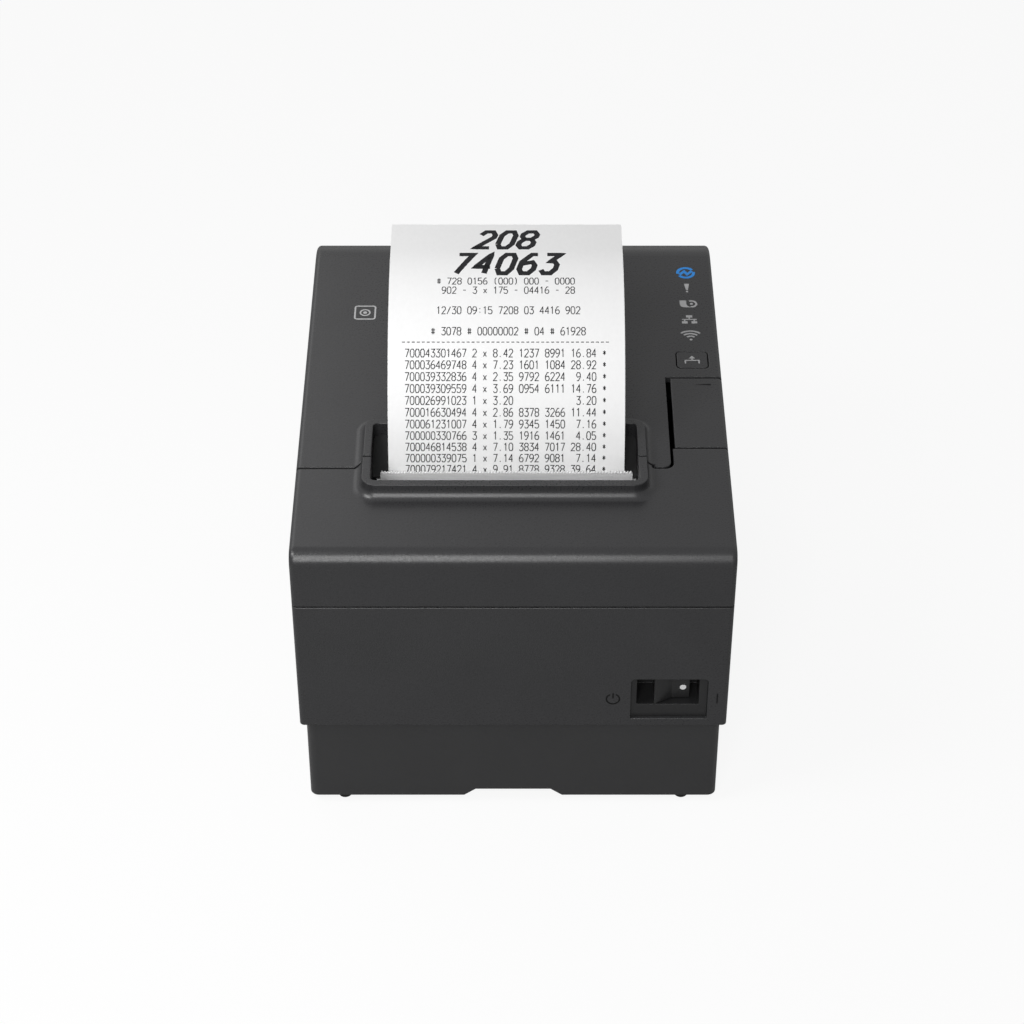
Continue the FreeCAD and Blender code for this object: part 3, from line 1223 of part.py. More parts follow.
def open_lever():
    """The lever that opens the roll cover, with its hook, pivot, bracket and spring."""
    hook_x = (f"{LEVER_LEFT} + part_gap", f"{LEVER_LEFT} + part_gap + hook_thick")
    left_lug = (f"{hook_x[1]} + part_gap", f"{hook_x[1]} + part_gap + lug_thick")
    left_post = (f"{left_lug[1]} + part_gap", f"{left_lug[1]} + part_gap + post_thick")
    right_edge = f"{CASE_HALF} - wall - lug_inset"
    right_lug = (f"{right_edge} - lug_thick", right_edge)
    right_post = (f"{right_lug[0]} - part_gap - post_thick", f"{right_lug[0]} - part_gap")
    axis = (LEVER_PIN_Y, LEVER_PIN_Z)
    lug_y = (f"{LEVER_PIN_Y} - lug_half", f"{LEVER_PIN_Y} + lug_heel")
    lug_z = (f"{LEVER_PIN_Z} - lug_half", top_at("lever_front_back + lever_pin_setback", "wall/2"))
    plate = common("lever_plate", SHELL, LEVER_REGION)
    lugs = [box(f"lever_lug{number}", xs, lug_y, lug_z) for number, xs in enumerate((left_lug, right_lug))]
    bore_span = (LEVER_LEFT, f"{CASE_HALF} - wall")
    bore = rod("lever_bore", "x", axis, bore_span, "lever_pin_radius + running_fit")
    keep("open_lever", cut("open_lever_solid", fuse("lever_with_lugs", [plate] + lugs), [bore]))
    keep("lever_pin", rod("lever_pin_rod", "x", axis, (left_lug[0], right_lug[1]), "lever_pin_radius"))
    hook_top = top_at("lever_front_back + hook_setback", "wall")
    hook_front = back("(lever_front_back + hook_setback)")
    nose = "(latch_back - latch_pin_radius - part_gap)"
    shank = back(f"({nose} - hook_nose)")
    keep("latch_hook", outline("latch_hook_plate", "YZ", [
        (hook_front, hook_top),
        (hook_front, "latch_z + hook_rise - hook_half"),
        (shank, "latch_z + hook_rise - hook_half"),
        (back(nose), "latch_z + hook_rise"),
        (shank, "latch_z + hook_rise + hook_half"),
        (shank, hook_top),
    ], *hook_x))
    shelf_z = ("lever_skirt_z - shelf_drop - shelf_thick", "lever_skirt_z - shelf_drop")
    shelf_right = half_width_at(shelf_z[0], "wall + shelf_side_room")
    shelf_y = (lug_y[0], back(f"({LEVER_REAR} - shelf_rear_room)"))
    bracket = [box("lever_shelf", (left_post[0], shelf_right), shelf_y, shelf_z)]
    post_y = (lug_y[0], f"{LEVER_PIN_Y} + post_heel")
    post_z = (shelf_z[0], f"{LEVER_PIN_Z} + lever_pin_drop")
    for number, xs in enumerate((left_post, right_post)):
        bracket.append(box(f"lever_post{number}", xs, post_y, post_z))
    post_bore = rod("post_bore", "x", axis, bore_span, "lever_pin_radius + press_fit")
    keep("lever_bracket", cut("lever_bracket_solid", fuse("lever_bracket_plates", bracket), [post_bore]))
    spring_back = f"({LEVER_REAR} - lever_spring_room)"
    spring_centre = (f"({LEVER_LEFT} + {CASE_HALF} - wall)/2", back(spring_back))
    spring_z = (shelf_z[1], top_at(f"{spring_back} - lever_spring_radius", "wall + part_gap"))
    outer = "lever_spring_radius"
    inner = f"{outer} - spring_wire"
    keep("lever_spring", tube("lever_spring_coil", "z", spring_centre, spring_z, outer, inner))


# Power switch


def bezel_block(name, front, rear):
    """An upright block with the bezel's outline, whose upper corners are round."""
    corners = [
        (BEZEL_LEFT, "bezel_low_z"),
        (BEZEL_RIGHT, "bezel_low_z"),
        (BEZEL_RIGHT, "bezel_high_z"),
        (BEZEL_LEFT, "bezel_high_z"),
    ]
    return outline(name, "XZ", corners, front, rear, [([2, 3], "bezel_corner")])


def power_switch():
    """The sunk bezel with its well, and the rocker that tilts about two pins in the well."""
    bezel = bezel_block("bezel_block", back("bezel_sink"), back("well_depth + well_back_wall"))
    well_z = ("well_low_z", "well_high_z")
    well_y = (back("0"), back("well_depth"))
    well = box("switch_well", (WELL_LEFT, WELL_RIGHT), well_y, well_z)
    left = f"({WELL_LEFT} + rocker_left_room)"
    right = f"({WELL_RIGHT} - rocker_right_room)"
    middle = f"(({left} + {right})/2)"
    pivot = (middle, back("rocker_pivot_back"))
    reach = "(rocker_pin_reach + running_fit)"
    sockets_z = (f"well_low_z - {reach}", f"well_high_z + {reach}")
    sockets = rod("pivot_sockets", "z", pivot, sockets_z, "rocker_pin_radius + running_fit")
    keep("switch_housing", cut("switch_housing_solid", bezel, [well, sockets]))
    paddle = outline("rocker_paddle", "XY", [
        (left, back("rocker_high_back")),
        (middle, back("rocker_waist_back")),
        (right, back("rocker_low_back")),
        (right, back("rocker_heel_back")),
        (f"{middle} + rocker_tail_half", back("(well_depth - rocker_tail_room)")),
        (f"{middle} - rocker_tail_half", back("(well_depth - rocker_tail_room)")),
        (left, back("rocker_heel_back")),
    ], "well_low_z + part_gap", "well_high_z - part_gap")
    pins_z = ("well_low_z - rocker_pin_reach", "well_high_z + rocker_pin_reach")
    pins = rod("rocker_pins", "z", pivot, pins_z, "rocker_pin_radius")
    keep("power_rocker", fuse("power_rocker_solid", [paddle, pins]))


# Boards and sockets

# Middle across, distance behind the board's front edge, width, depth and height of each chip
CHIPS = [
    ("-30", "30", "18", "18", "2.2"),
    ("5", "25", "12", "12", "1.6"),
    ("32", "50", "10", "14", "1.8"),
    ("-20", "75", "20", "8", "4"),
]
# Middle across, distance behind the board's front edge, radius and height of each capacitor
CAPACITORS = [("34", "80", "4", "6"), ("44", "80", "4", "6")]
# Node, middle across, width and height of each socket
SOCKETS = [
    ("power_inlet", "-36", "15", "15"),
    ("drawer_port", "-12", "13", "13"),
    ("network_port", "12", "16", "14"),
    ("data_port", "36", "12", "11"),
]


def main_board():
    board_z = ("board_z", BOARD_TOP)
    slab = box("main_slab", (f"-{BOARD_HALF}", BOARD_HALF), (BOARD_FRONT, BOARD_REAR), board_z)
    holes = []
    screws = []
    for number, centre in enumerate(BOARD_POSTS):
        holes.append(rod(f"board_hole{number}", "z", centre, board_z, "screw_hole_radius"))
        shank_z = ("base_floor_z + wall + screw_tip_room", f"{BOARD_TOP} + screw_head_height/2")
        shank = rod(f"screw_shank{number}", "z", centre, shank_z, "screw_radius")
        head_z = (BOARD_TOP, f"{BOARD_TOP} + screw_head_height")
        head = rod(f"screw_head{number}", "z", centre, head_z, "screw_head_radius")
        screws.append(fuse(f"board_screw{number}", [shank, head]))
    keep("main_board", cut("main_board_solid", slab, holes))
    keep("board_screws", group("board_screw_set", screws))
    parts = []
    for number, (across, far, wide, deep, high) in enumerate(CHIPS):
        chip_x = (f"{across} - {wide}/2", f"{across} + {wide}/2")
        chip_y = (f"{BOARD_FRONT} + {far} - {deep}/2", f"{BOARD_FRONT} + {far} + {deep}/2")
        parts.append(box(f"chip{number}", chip_x, chip_y, (BOARD_TOP, f"{BOARD_TOP} + {high}")))
    for number, (across, far, radius, high) in enumerate(CAPACITORS):
        centre = (across, f"{BOARD_FRONT} + {far}")
        parts.append(rod(f"capacitor{number}", "z", centre, (BOARD_TOP, f"{BOARD_TOP} + {high}"), radius))
    keep("board_parts", group("board_part_set", parts))


def rear_panel():
    """The interface board and plate in the base's rear, with the sockets in the plate's windows."""
    board_x = ("-bay_half_width + plate_thick", "bay_half_width - plate_thick")
    board_z = ("board_z", BOARD_TOP)
    keep("interface_board", box("interface_slab", board_x, (INTERFACE_FRONT, INTERFACE_REAR), board_z))
    plate_x = ("-bay_half_width - plate_margin", "bay_half_width + plate_margin")
    plate_z = ("base_floor_z + wall", "bay_high_z + plate_rise")
    plate = box("interface_panel", plate_x, (f"{PLATE_REAR} - plate_thick", PLATE_REAR), plate_z)
    windows = [rear_socket(*socket) for socket in SOCKETS]
    keep("interface_plate", cut("interface_plate_solid", plate, windows))


def rear_socket(node, middle, width, height):
    """A socket on the interface board. Returns its window in the plate."""
    xs = (f"{middle} - {width}/2", f"{middle} + {width}/2")
    ys = (f"{PLATE_REAR} + socket_proud - socket_depth", f"{PLATE_REAR} + socket_proud")
    zs = (BOARD_TOP, f"{BOARD_TOP} + {height}")
    block = box(node + "_block", xs, ys, zs)
    mouth_y = (f"{ys[0]} + socket_wall", f"{ys[1]} + socket_wall")
    if node == "power_inlet":
        centre = (middle, f"{BOARD_TOP} + {height}/2")
        mouth = rod(node + "_mouth", "y", centre, mouth_y, f"{height}/2 - socket_wall")
    else:
        mouth_x = (f"{xs[0]} + socket_wall", f"{xs[1]} - socket_wall")
        mouth = box(node + "_mouth", mouth_x, mouth_y, (f"{zs[0]} + socket_wall", f"{zs[1]} - socket_wall"))
    keep(node, cut(node + "_solid", block, [mouth]))
    window_x = (f"{xs[0]} - window_room", f"{xs[1]} + window_room")
    window_y = (f"{PLATE_REAR} - 2*plate_thick", f"{PLATE_REAR} + plate_thick")
    return box(node + "_window", window_x, window_y, (f"{zs[0]} - window_room", f"{zs[1]} + window_room"))


base_tray()
rubber_feet()
lower_case()
hinge_pins()
roll_pan()
side_frames()
print_head()
feed_drive()
platen()
cutter()
paper_roll()
paper_web()
receipt()
keep("cutter_cover", common("cutter_cover_solid", SHELL, CUTTER_REGION))
roll_cover()
exit_guide()
keys()
open_lever()
power_switch()
main_board()
rear_panel()

doc.recompute()
faults = [thing.Name for thing in doc.Objects if "Invalid" in thing.State or "Error" in thing.State]
for node, piece in NODES.items():
    shape = piece.Shape
    if shape.isNull() or not shape.isValid() or not shape.Solids:
        faults.append(node)
if faults:
    raise RuntimeError("failed objects: " + ", ".join(faults))

os.makedirs("parts", exist_ok=True)
for node, piece in NODES.items():
    piece.Shape.exportStep(f"parts/{node}.step")
    print(f"{node}: {len(piece.Shape.Solids)} solids, {piece.Shape.Volume:.1f} mm3")
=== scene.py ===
"""Looks of the desktop receipt printer: finishes, the slip's print, signs, socket contacts and springs.

Units are metres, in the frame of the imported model: X to the right, Y to the rear, Z up.
"""
import json
import math
import random

import bpy
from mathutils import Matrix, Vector
from mathutils.geometry import tessellate_polygon


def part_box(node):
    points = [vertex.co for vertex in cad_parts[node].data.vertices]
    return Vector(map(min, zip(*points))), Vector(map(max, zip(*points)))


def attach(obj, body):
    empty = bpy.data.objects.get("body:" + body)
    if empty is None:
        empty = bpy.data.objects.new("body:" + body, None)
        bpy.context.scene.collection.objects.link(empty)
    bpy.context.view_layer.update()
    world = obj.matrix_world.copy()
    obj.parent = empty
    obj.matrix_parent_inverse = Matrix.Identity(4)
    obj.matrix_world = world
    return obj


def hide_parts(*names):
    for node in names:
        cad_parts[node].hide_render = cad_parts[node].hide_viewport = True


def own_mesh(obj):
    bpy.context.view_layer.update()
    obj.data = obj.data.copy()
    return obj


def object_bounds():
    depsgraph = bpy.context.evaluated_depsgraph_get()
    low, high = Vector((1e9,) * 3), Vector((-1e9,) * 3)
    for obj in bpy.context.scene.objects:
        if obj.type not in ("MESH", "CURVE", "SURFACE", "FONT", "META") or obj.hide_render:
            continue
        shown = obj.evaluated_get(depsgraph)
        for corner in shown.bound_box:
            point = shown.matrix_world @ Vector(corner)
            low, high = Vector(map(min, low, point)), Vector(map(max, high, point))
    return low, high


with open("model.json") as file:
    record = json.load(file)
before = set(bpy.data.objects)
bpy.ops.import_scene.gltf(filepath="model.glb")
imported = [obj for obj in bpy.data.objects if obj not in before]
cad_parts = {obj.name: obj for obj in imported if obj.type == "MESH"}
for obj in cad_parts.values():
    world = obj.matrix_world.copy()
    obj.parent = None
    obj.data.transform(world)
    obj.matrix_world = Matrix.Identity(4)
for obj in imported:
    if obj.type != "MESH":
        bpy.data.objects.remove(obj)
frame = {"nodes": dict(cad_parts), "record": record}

CAD_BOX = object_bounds()
NODES = frame["nodes"]
MM = 0.001

# Camera of the photograph
PICTURE_PIXELS = 1024
FOCAL_PIXELS = 2677.1
SENSOR_WIDTH = 36.0
CAMERA_PLACE = Vector((-0.37, -759.04, 660.41)) * MM
CAMERA_DIP = math.radians(38.455)


def make_camera():
    data = bpy.data.cameras.new("camera")
    data.sensor_width = SENSOR_WIDTH
    data.lens = FOCAL_PIXELS / PICTURE_PIXELS * SENSOR_WIDTH
    data.clip_start = 0.05
    data.clip_end = 20.0
    camera = bpy.data.objects.new("camera", data)
    camera.location = CAMERA_PLACE
    camera.rotation_euler = (math.pi / 2 - CAMERA_DIP, 0.0, 0.0)
    bpy.context.scene.collection.objects.link(camera)
    bpy.context.scene.camera = camera


# Studio: soft lamps, a white surround and a pale floor

LAMPS = {
    # name: (place, size across, size up, watts)
    "key": ((-0.30, -0.20, 0.48), 0.22, 0.22, 1.2),
    "front_box": ((-0.14, -1.00, 0.74), 0.4, 0.9, 7.2),
    "rear_left": ((-0.62, 0.85, 0.95), 1.0, 0.6, 2.1),
}
LAMP_TARGET = Vector((0.0, -0.01, 0.08))
SURROUND_LIGHT = 0.2
REFLECTED_SKY = 0.5
REFLECTED_FLOOR = 0.1
FLOOR_SIZE = 6.0
FLOOR_SHADE_SHARE = 0.1
FLOOR_WHITE = (0.95, 0.95, 0.95)
FLOOR_BOUNCE = (0.45, 0.45, 0.45)


def make_lamps():
    for name, (place, across, up, watts) in LAMPS.items():
        data = bpy.data.lights.new(name, "AREA")
        data.shape = "RECTANGLE"
        data.size = across
        data.size_y = up
        data.energy = watts
        lamp = bpy.data.objects.new(name, data)
        lamp.location = place
        lamp.visible_camera = False
        lamp.rotation_euler = (LAMP_TARGET - Vector(place)).to_track_quat("-Z", "Y").to_euler()
        bpy.context.scene.collection.objects.link(lamp)


def seen_white(tree, reflected):
    """How white the surround looks: wholly to the camera and through glass, partly in reflections."""
    path = tree.nodes.new("ShaderNodeLightPath")
    mirrored = tree.nodes.new("ShaderNodeMath")
    mirrored.operation = "MULTIPLY"
    mirrored.inputs[1].default_value = reflected
    tree.links.new(path.outputs["Is Glossy Ray"], mirrored.inputs[0])
    seen = mirrored.outputs[0]
    for ray in ("Is Camera Ray", "Is Transmission Ray"):
        either = tree.nodes.new("ShaderNodeMath")
        either.operation = "MAXIMUM"
        tree.links.new(seen, either.inputs[0])
        tree.links.new(path.outputs[ray], either.inputs[1])
        seen = either.outputs[0]
    return seen


def make_surround():
    world = bpy.data.worlds.new("surround")
    world.use_nodes = True
    bpy.context.scene.world = world
    tree = world.node_tree
    tree.nodes.clear()
    light = tree.nodes.new("ShaderNodeBackground")
    light.inputs["Color"].default_value = (1.0, 1.0, 1.0, 1.0)
    light.inputs["Strength"].default_value = SURROUND_LIGHT
    white = tree.nodes.new("ShaderNodeBackground")
    white.inputs["Color"].default_value = (1.0, 1.0, 1.0, 1.0)
    white.inputs["Strength"].default_value = 1.0
    either = tree.nodes.new("ShaderNodeMixShader")
    out = tree.nodes.new("ShaderNodeOutputWorld")
    tree.links.new(seen_white(tree, REFLECTED_SKY), either.inputs["Fac"])
    tree.links.new(light.outputs[0], either.inputs[1])
    tree.links.new(white.outputs[0], either.inputs[2])
    tree.links.new(either.outputs[0], out.inputs["Surface"])


def make_floor():
    half = FLOOR_SIZE / 2
    mesh = bpy.data.meshes.new("floor")
    corners = [(-half, -half, 0), (half, -half, 0), (half, half, 0), (-half, half, 0)]
    mesh.from_pydata(corners, [], [(0, 1, 2, 3)])
    floor = bpy.data.objects.new("floor", mesh)
    bpy.context.scene.collection.objects.link(floor)
    finish = bpy.data.materials.new("floor")
    finish.use_nodes = True
    tree = finish.node_tree
    tree.nodes.clear()
    seen = seen_white(tree, REFLECTED_FLOOR)
    colour = tree.nodes.new("ShaderNodeMix")
    colour.data_type = "RGBA"
    colour.inputs["A"].default_value = (*FLOOR_BOUNCE, 1.0)
    colour.inputs["B"].default_value = (*FLOOR_WHITE, 1.0)
    matt = tree.nodes.new("ShaderNodeBsdfDiffuse")
    glow = tree.nodes.new("ShaderNodeEmission")
    glow.inputs["Color"].default_value = (1.0, 1.0, 1.0, 1.0)
    share = tree.nodes.new("ShaderNodeMath")
    share.operation = "MULTIPLY"
    share.inputs[1].default_value = 1.0 - FLOOR_SHADE_SHARE
    either = tree.nodes.new("ShaderNodeMixShader")
    out = tree.nodes.new("ShaderNodeOutputMaterial")
    tree.links.new(seen, colour.inputs["Factor"])
    tree.links.new(colour.outputs["Result"], matt.inputs["Color"])
    tree.links.new(seen, share.inputs[0])
    tree.links.new(share.outputs[0], either.inputs["Fac"])
    tree.links.new(matt.outputs[0], either.inputs[1])
    tree.links.new(glow.outputs[0], either.inputs[2])
    tree.links.new(either.outputs[0], out.inputs["Surface"])
    mesh.materials.append(finish)


# Materials: each is a small node tree in object coordinates, which are metres in the model's frame

EDGE_SAMPLES = 6


class Finish:
    """A material with helpers for noise, ramps and bump."""

    def __init__(self, name, roughness, metallic=0.0, specular=0.5):
        self.material = bpy.data.materials.new(name)
        self.material.use_nodes = True
        self.tree = self.material.node_tree
        self.shader = self.tree.nodes["Principled BSDF"]
        self.shader.inputs["Roughness"].default_value = roughness
        self.shader.inputs["Metallic"].default_value = metallic
        self.shader.inputs["Specular IOR Level"].default_value = specular
        self.place = self.tree.nodes.new("ShaderNodeTexCoord").outputs["Object"]

    def stretched(self, scale):
        """The place, scaled by axis, for grain that runs one way."""
        mapping = self.tree.nodes.new("ShaderNodeMapping")
        mapping.inputs["Scale"].default_value = scale
        self.tree.links.new(self.place, mapping.inputs["Vector"])
        return mapping.outputs[0]

    def noise(self, scale, detail=3.0, place=None):
        node = self.tree.nodes.new("ShaderNodeTexNoise")
        node.inputs["Scale"].default_value = scale
        node.inputs["Detail"].default_value = detail
        self.tree.links.new(place or self.place, node.inputs["Vector"])
        return node.outputs["Fac"]

    def spread(self, value, low, high):
        node = self.tree.nodes.new("ShaderNodeMapRange")
        node.inputs["From Min"].default_value = 0.3
        node.inputs["From Max"].default_value = 0.7
        node.inputs["To Min"].default_value = low
        node.inputs["To Max"].default_value = high
        self.tree.links.new(value, node.inputs["Value"])
        return node.outputs[0]

    def tint(self, value, dark, light):
        """Base colour that varies between two colours."""
        mix = self.tree.nodes.new("ShaderNodeMix")
        mix.data_type = "RGBA"
        mix.inputs["A"].default_value = (*dark, 1.0)
        mix.inputs["B"].default_value = (*light, 1.0)
        self.tree.links.new(self.spread(value, 0.0, 1.0), mix.inputs["Factor"])
        self.tree.links.new(mix.outputs["Result"], self.shader.inputs["Base Color"])
        return self

    def shine(self, value, low, high):
        self.tree.links.new(self.spread(value, low, high), self.shader.inputs["Roughness"])
        return self

    def bump(self, value, depth, edge=None):
        """Grain on the surface, and a soft round of a given radius on the edges."""
        node = self.tree.nodes.new("ShaderNodeBump")
        node.inputs["Distance"].default_value = depth
        self.tree.links.new(value, node.inputs["Height"])
        if edge is not None:
            rounded = self.tree.nodes.new("ShaderNodeBevel")
            rounded.samples = EDGE_SAMPLES
            rounded.inputs["Radius"].default_value = edge
            self.tree.links.new(rounded.outputs[0], node.inputs["Normal"])
        self.tree.links.new(node.outputs[0], self.shader.inputs["Normal"])
        return self


def shades(colour, spread):
    """A darker and a lighter version of a colour."""
    return [channel * (1 - spread) for channel in colour], [channel * (1 + spread) for channel in colour]


def moulded(name, colour, roughness, grain=1500.0, depth=0.00004, specular=0.5, edge=None):
    """Moulded plastic with a fine spark-eroded grain."""
    finish = Finish(name, roughness, specular=specular)
    fine = finish.noise(grain, 2.0)
    finish.tint(finish.noise(45.0), *shades(colour, 0.05))
    finish.shine(fine, roughness - 0.05, roughness + 0.05)
    return finish.bump(fine, depth, edge).material


def metal(name, colour, roughness, along=(40.0, 1500.0, 1500.0), depth=0.00001, metallic=1.0):
    """Metal with fine drawn lines along one axis. Less than wholly metallic, a pale colour also shows as
    a matt colour and paints in a sheen of reflected light.
    """
    finish = Finish(name, roughness, metallic)
    lines = finish.noise(1.0, 3.0, finish.stretched(along))
    finish.tint(lines, *shades(colour, 0.07))
    finish.shine(lines, roughness - 0.07, roughness + 0.07)
    return finish.bump(lines, depth).material


def paper_sheet(name, colour, roughness):
    """Smooth coated paper with faint fibres."""
    finish = Finish(name, roughness, specular=0.3)
    fibres = finish.noise(1.0, 4.0, finish.stretched((900.0, 500.0, 500.0)))
    finish.tint(fibres, *shades(colour, 0.012))
    return finish.bump(fibres, 0.000006).material


def wound_paper(name, colour, centre):
    """The roll: its ends show the turns as fine rings about the centre line."""
    finish = Finish(name, 0.75, specular=0.2)
    shift = finish.tree.nodes.new("ShaderNodeMapping")
    shift.inputs["Location"].default_value = (0.0, -centre.y, -centre.z)
    shift.inputs["Scale"].default_value = (0.0, 1.0, 1.0)
    finish.tree.links.new(finish.place, shift.inputs["Vector"])
    rings = finish.tree.nodes.new("ShaderNodeTexWave")
    rings.wave_type = "RINGS"
    rings.rings_direction = "X"
    rings.inputs["Scale"].default_value = 700.0
    rings.inputs["Distortion"].default_value = 0.6
    finish.tree.links.new(shift.outputs[0], rings.inputs["Vector"])
    finish.tint(rings.outputs["Fac"], *shades(colour, 0.06))
    return finish.bump(rings.outputs["Fac"], 0.00002).material


def circuit_board(name, colour):
    """A solder-masked board with darker runs of copper under the mask."""
    finish = Finish(name, 0.35)
    runs = finish.tree.nodes.new("ShaderNodeTexBrick")
    runs.inputs["Scale"].default_value = 60.0
    runs.inputs["Mortar Size"].default_value = 0.04
    dark, light = shades(colour, 0.25)
    runs.inputs["Color1"].default_value = (*colour, 1.0)
    runs.inputs["Color2"].default_value = (*light, 1.0)
    runs.inputs["Mortar"].default_value = (*dark, 1.0)
    finish.tree.links.new(finish.place, runs.inputs["Vector"])
    finish.tree.links.new(runs.outputs["Color"], finish.shader.inputs["Base Color"])
    return finish.bump(runs.outputs["Fac"], 0.00003).material


def lit(name, colour, strength):
    """A printed sign with a lamp behind it."""
    finish = Finish(name, 0.4)
    finish.tint(finish.noise(900.0), *shades(colour, 0.08))
    finish.shader.inputs["Emission Color"].default_value = (*colour, 1.0)
    finish.shader.inputs["Emission Strength"].default_value = strength
    return finish.material


CHARCOAL = (0.026, 0.026, 0.0275)
DARK_CHARCOAL = (0.0245, 0.0245, 0.0255)
BLACK = (0.018, 0.018, 0.0185)
CASE_GRAIN = 0.014 * MM
ROLL_LOW, ROLL_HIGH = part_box("paper_roll")

SLOT_FINISHES = {
    "case_plastic": moulded("case_plastic", CHARCOAL, 0.30, depth=CASE_GRAIN, edge=0.7 * MM),
    "base_plastic": moulded("base_plastic", DARK_CHARCOAL, 0.34, depth=CASE_GRAIN, edge=0.6 * MM),
    "switch_plastic": moulded("switch_plastic", BLACK, 0.34, 2200.0, 0.00002, 0.35, 0.4 * MM),
    "button_plastic": moulded("button_plastic", CHARCOAL, 0.30, depth=CASE_GRAIN, edge=0.4 * MM),
    "gear_plastic": moulded("gear_plastic", (0.7, 0.69, 0.65), 0.4, 800.0, 0.00001),
    "socket_plastic": moulded("socket_plastic", (0.018, 0.018, 0.02), 0.4),
    "socket_metal": metal("socket_metal", (0.6, 0.6, 0.6), 0.32),
    "rubber": moulded("rubber", (0.018, 0.018, 0.018), 0.75, 2600.0, 0.00003, 0.3),
    "steel": metal("steel", (0.55, 0.55, 0.56), 0.36),
    "blade_steel": metal("blade_steel", (0.72, 0.72, 0.73), 0.34),
    "motor_metal": metal("motor_metal", (0.48, 0.48, 0.49), 0.34),
    "bush_brass": metal("bush_brass", (0.7, 0.5, 0.25), 0.35),
    "head_aluminium": metal("head_aluminium", (0.66, 0.66, 0.68), 0.4),
    "head_ceramic": moulded("head_ceramic", (0.8, 0.8, 0.77), 0.25, 900.0, 0.000004),
    "board_green": circuit_board("board_green", (0.03, 0.16, 0.07)),
    "paper": paper_sheet("paper", (0.9, 0.9, 0.9), 0.55),
    "cardboard": moulded("cardboard", (0.48, 0.36, 0.23), 0.85, 600.0, 0.00006, 0.2),
}
NODE_FINISHES = {
    "paper_roll": wound_paper("wound_paper", (0.86, 0.86, 0.85), (ROLL_LOW + ROLL_HIGH) / 2),
    # Painted sheen: the steel tear bar gets a near-white colour and little metal, so its colour paints in
    # the bright sheen of reflected light
    "tear_bar": metal("tear_bar_painted_sheen", (0.95, 0.95, 0.95), 0.4, (60.0, 60.0, 900.0), 0.000002, 0.1),
    "exit_guide": moulded("guide_plastic", BLACK, 0.5, specular=0.25),
    "platen_carrier": moulded("carrier_plastic", BLACK, 0.5, specular=0.25),
    "key_board": circuit_board("key_board_mask", (0.006, 0.008, 0.007)),
}
INK = moulded("thermal_ink", (0.018, 0.018, 0.02), 0.7, 3000.0, 0.000004, 0.2)
PALE_PRINT = moulded("pale_print", (0.52, 0.52, 0.525), 0.5, 2600.0, 0.000004, 0.3)
# Dark print beside the switch; the same dark colour is also painted shade in the groove on the lever
DARK_PRINT_AND_GROOVE_SHADE = moulded("dark_print_and_groove_shade", (0.008, 0.008, 0.008), 0.75, 2600.0, 0.000004, 0.08)
WHITE_DOT = moulded("white_dot", (0.85, 0.85, 0.85), 0.4, 2600.0, 0.000004)
BLUE_LIGHT = lit("blue_light", (0.01, 0.16, 0.46), 0.45)
GOLD = metal("contact_gold", (0.75, 0.55, 0.22), 0.28)


def dress_nodes():
    """Give every solid its finish."""
    for subpart in frame["record"]["subparts"]:
        node = subpart["node"]
        finish = NODE_FINISHES.get(node, SLOT_FINISHES[subpart["material_slot"]])
        materials = NODES[node].data.materials
        if not materials:
            materials.append(finish)
        for place in range(len(materials)):
            materials[place] = finish


# Flat marks: outlines in a plane, laid on a surface of the model

MARK_THICK = 0.03 * MM
MARK_LIFT = 0.004 * MM


def ring_point(centre, radius, turn):
    return centre[0] + radius * math.cos(turn), centre[1] + radius * math.sin(turn)


def ring(centre, radius, steps):
    return [ring_point(centre, radius, 2 * math.pi * step / steps) for step in range(steps)]


def around(x, y, points):
    """Points in millimetres about a place in metres."""
    return [(x + across * MM, y + up * MM) for across, up in points]


class Marks:
    """Collects flat shapes in a plane and lays them on a surface."""

    def __init__(self, step=None):
        """step is the longest run of a stroke, for marks on a curved surface."""
        self.points = []
        self.faces = []
        self.step = step

    def polygon(self, corners):
        start = len(self.points)
        self.points += [tuple(corner) for corner in corners]
        self.faces.append(list(range(start, start + len(corners))))

    def stroke(self, path, width, closed=False):
        """A ribbon along a path, with mitred corners."""
        path = self.in_steps([Vector(point) for point in path])
        count = len(path)
        sides = []
        for number, point in enumerate(path):
            before = path[number - 1] if number or closed else None
            after = path[(number + 1) % count] if number + 1 < count or closed else None
            runs = []
            if before is not None:
                runs.append((point - before).normalized())
            if after is not None:
                runs.append((after - point).normalized())
            along = sum(runs, Vector((0.0, 0.0))).normalized()
            aside = Vector((-along.y, along.x))
            spread = max(0.5, abs(along.dot(runs[0])))
            sides.append((point + aside * width / 2 / spread, point - aside * width / 2 / spread))
        last = count if closed else count - 1
        for number in range(last):
            left, right = sides[number]
            next_left, next_right = sides[(number + 1) % count]
            self.polygon([left, right, next_right, next_left])

    def in_steps(self, path):
        if self.step is None:
            return path
        points = path[:1]
        for before, after in zip(path, path[1:]):
            count = max(1, math.ceil((after - before).length / self.step))
            points += [before.lerp(after, number / count) for number in range(1, count + 1)]
        return points

    def arc(self, centre, radius, start, end, width, steps=24):
        """A ribbon along an arc, in degrees."""
        turns = [math.radians(start + (end - start) * step / steps) for step in range(steps + 1)]
        points = [ring_point(centre, radius, turn) for turn in turns]
        closed = abs(end - start) >= 360
        self.stroke(points[:-1] if closed else points, width, closed)

    def disc(self, centre, radius, steps=24):
        self.polygon(ring(centre, radius, steps))

    def lay(self, name, place, finish, body, thickness=MARK_THICK):
        """Make the piece. place turns a flat point and a height into a point in the model's frame."""
        top = [place(point, thickness) for point in self.points]
        low = [place(point, 0.0) for point in self.points]
        count = len(top)
        faces = list(self.faces)
        for face in self.faces:
            faces.append([corner + count for corner in reversed(face)])
            for first, second in zip(face, face[1:] + face[:1]):
                faces.append([second, first, first + count, second + count])
        add_piece(name, top + low, faces, finish, body)


def add_piece(name, points, faces, finish, body):
    mesh = bpy.data.meshes.new(name)
    mesh.from_pydata(points, [], faces)
    mesh.materials.append(finish)
    piece = bpy.data.objects.new(name, mesh)
    bpy.context.scene.collection.objects.link(piece)
    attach(piece, body)
    return piece


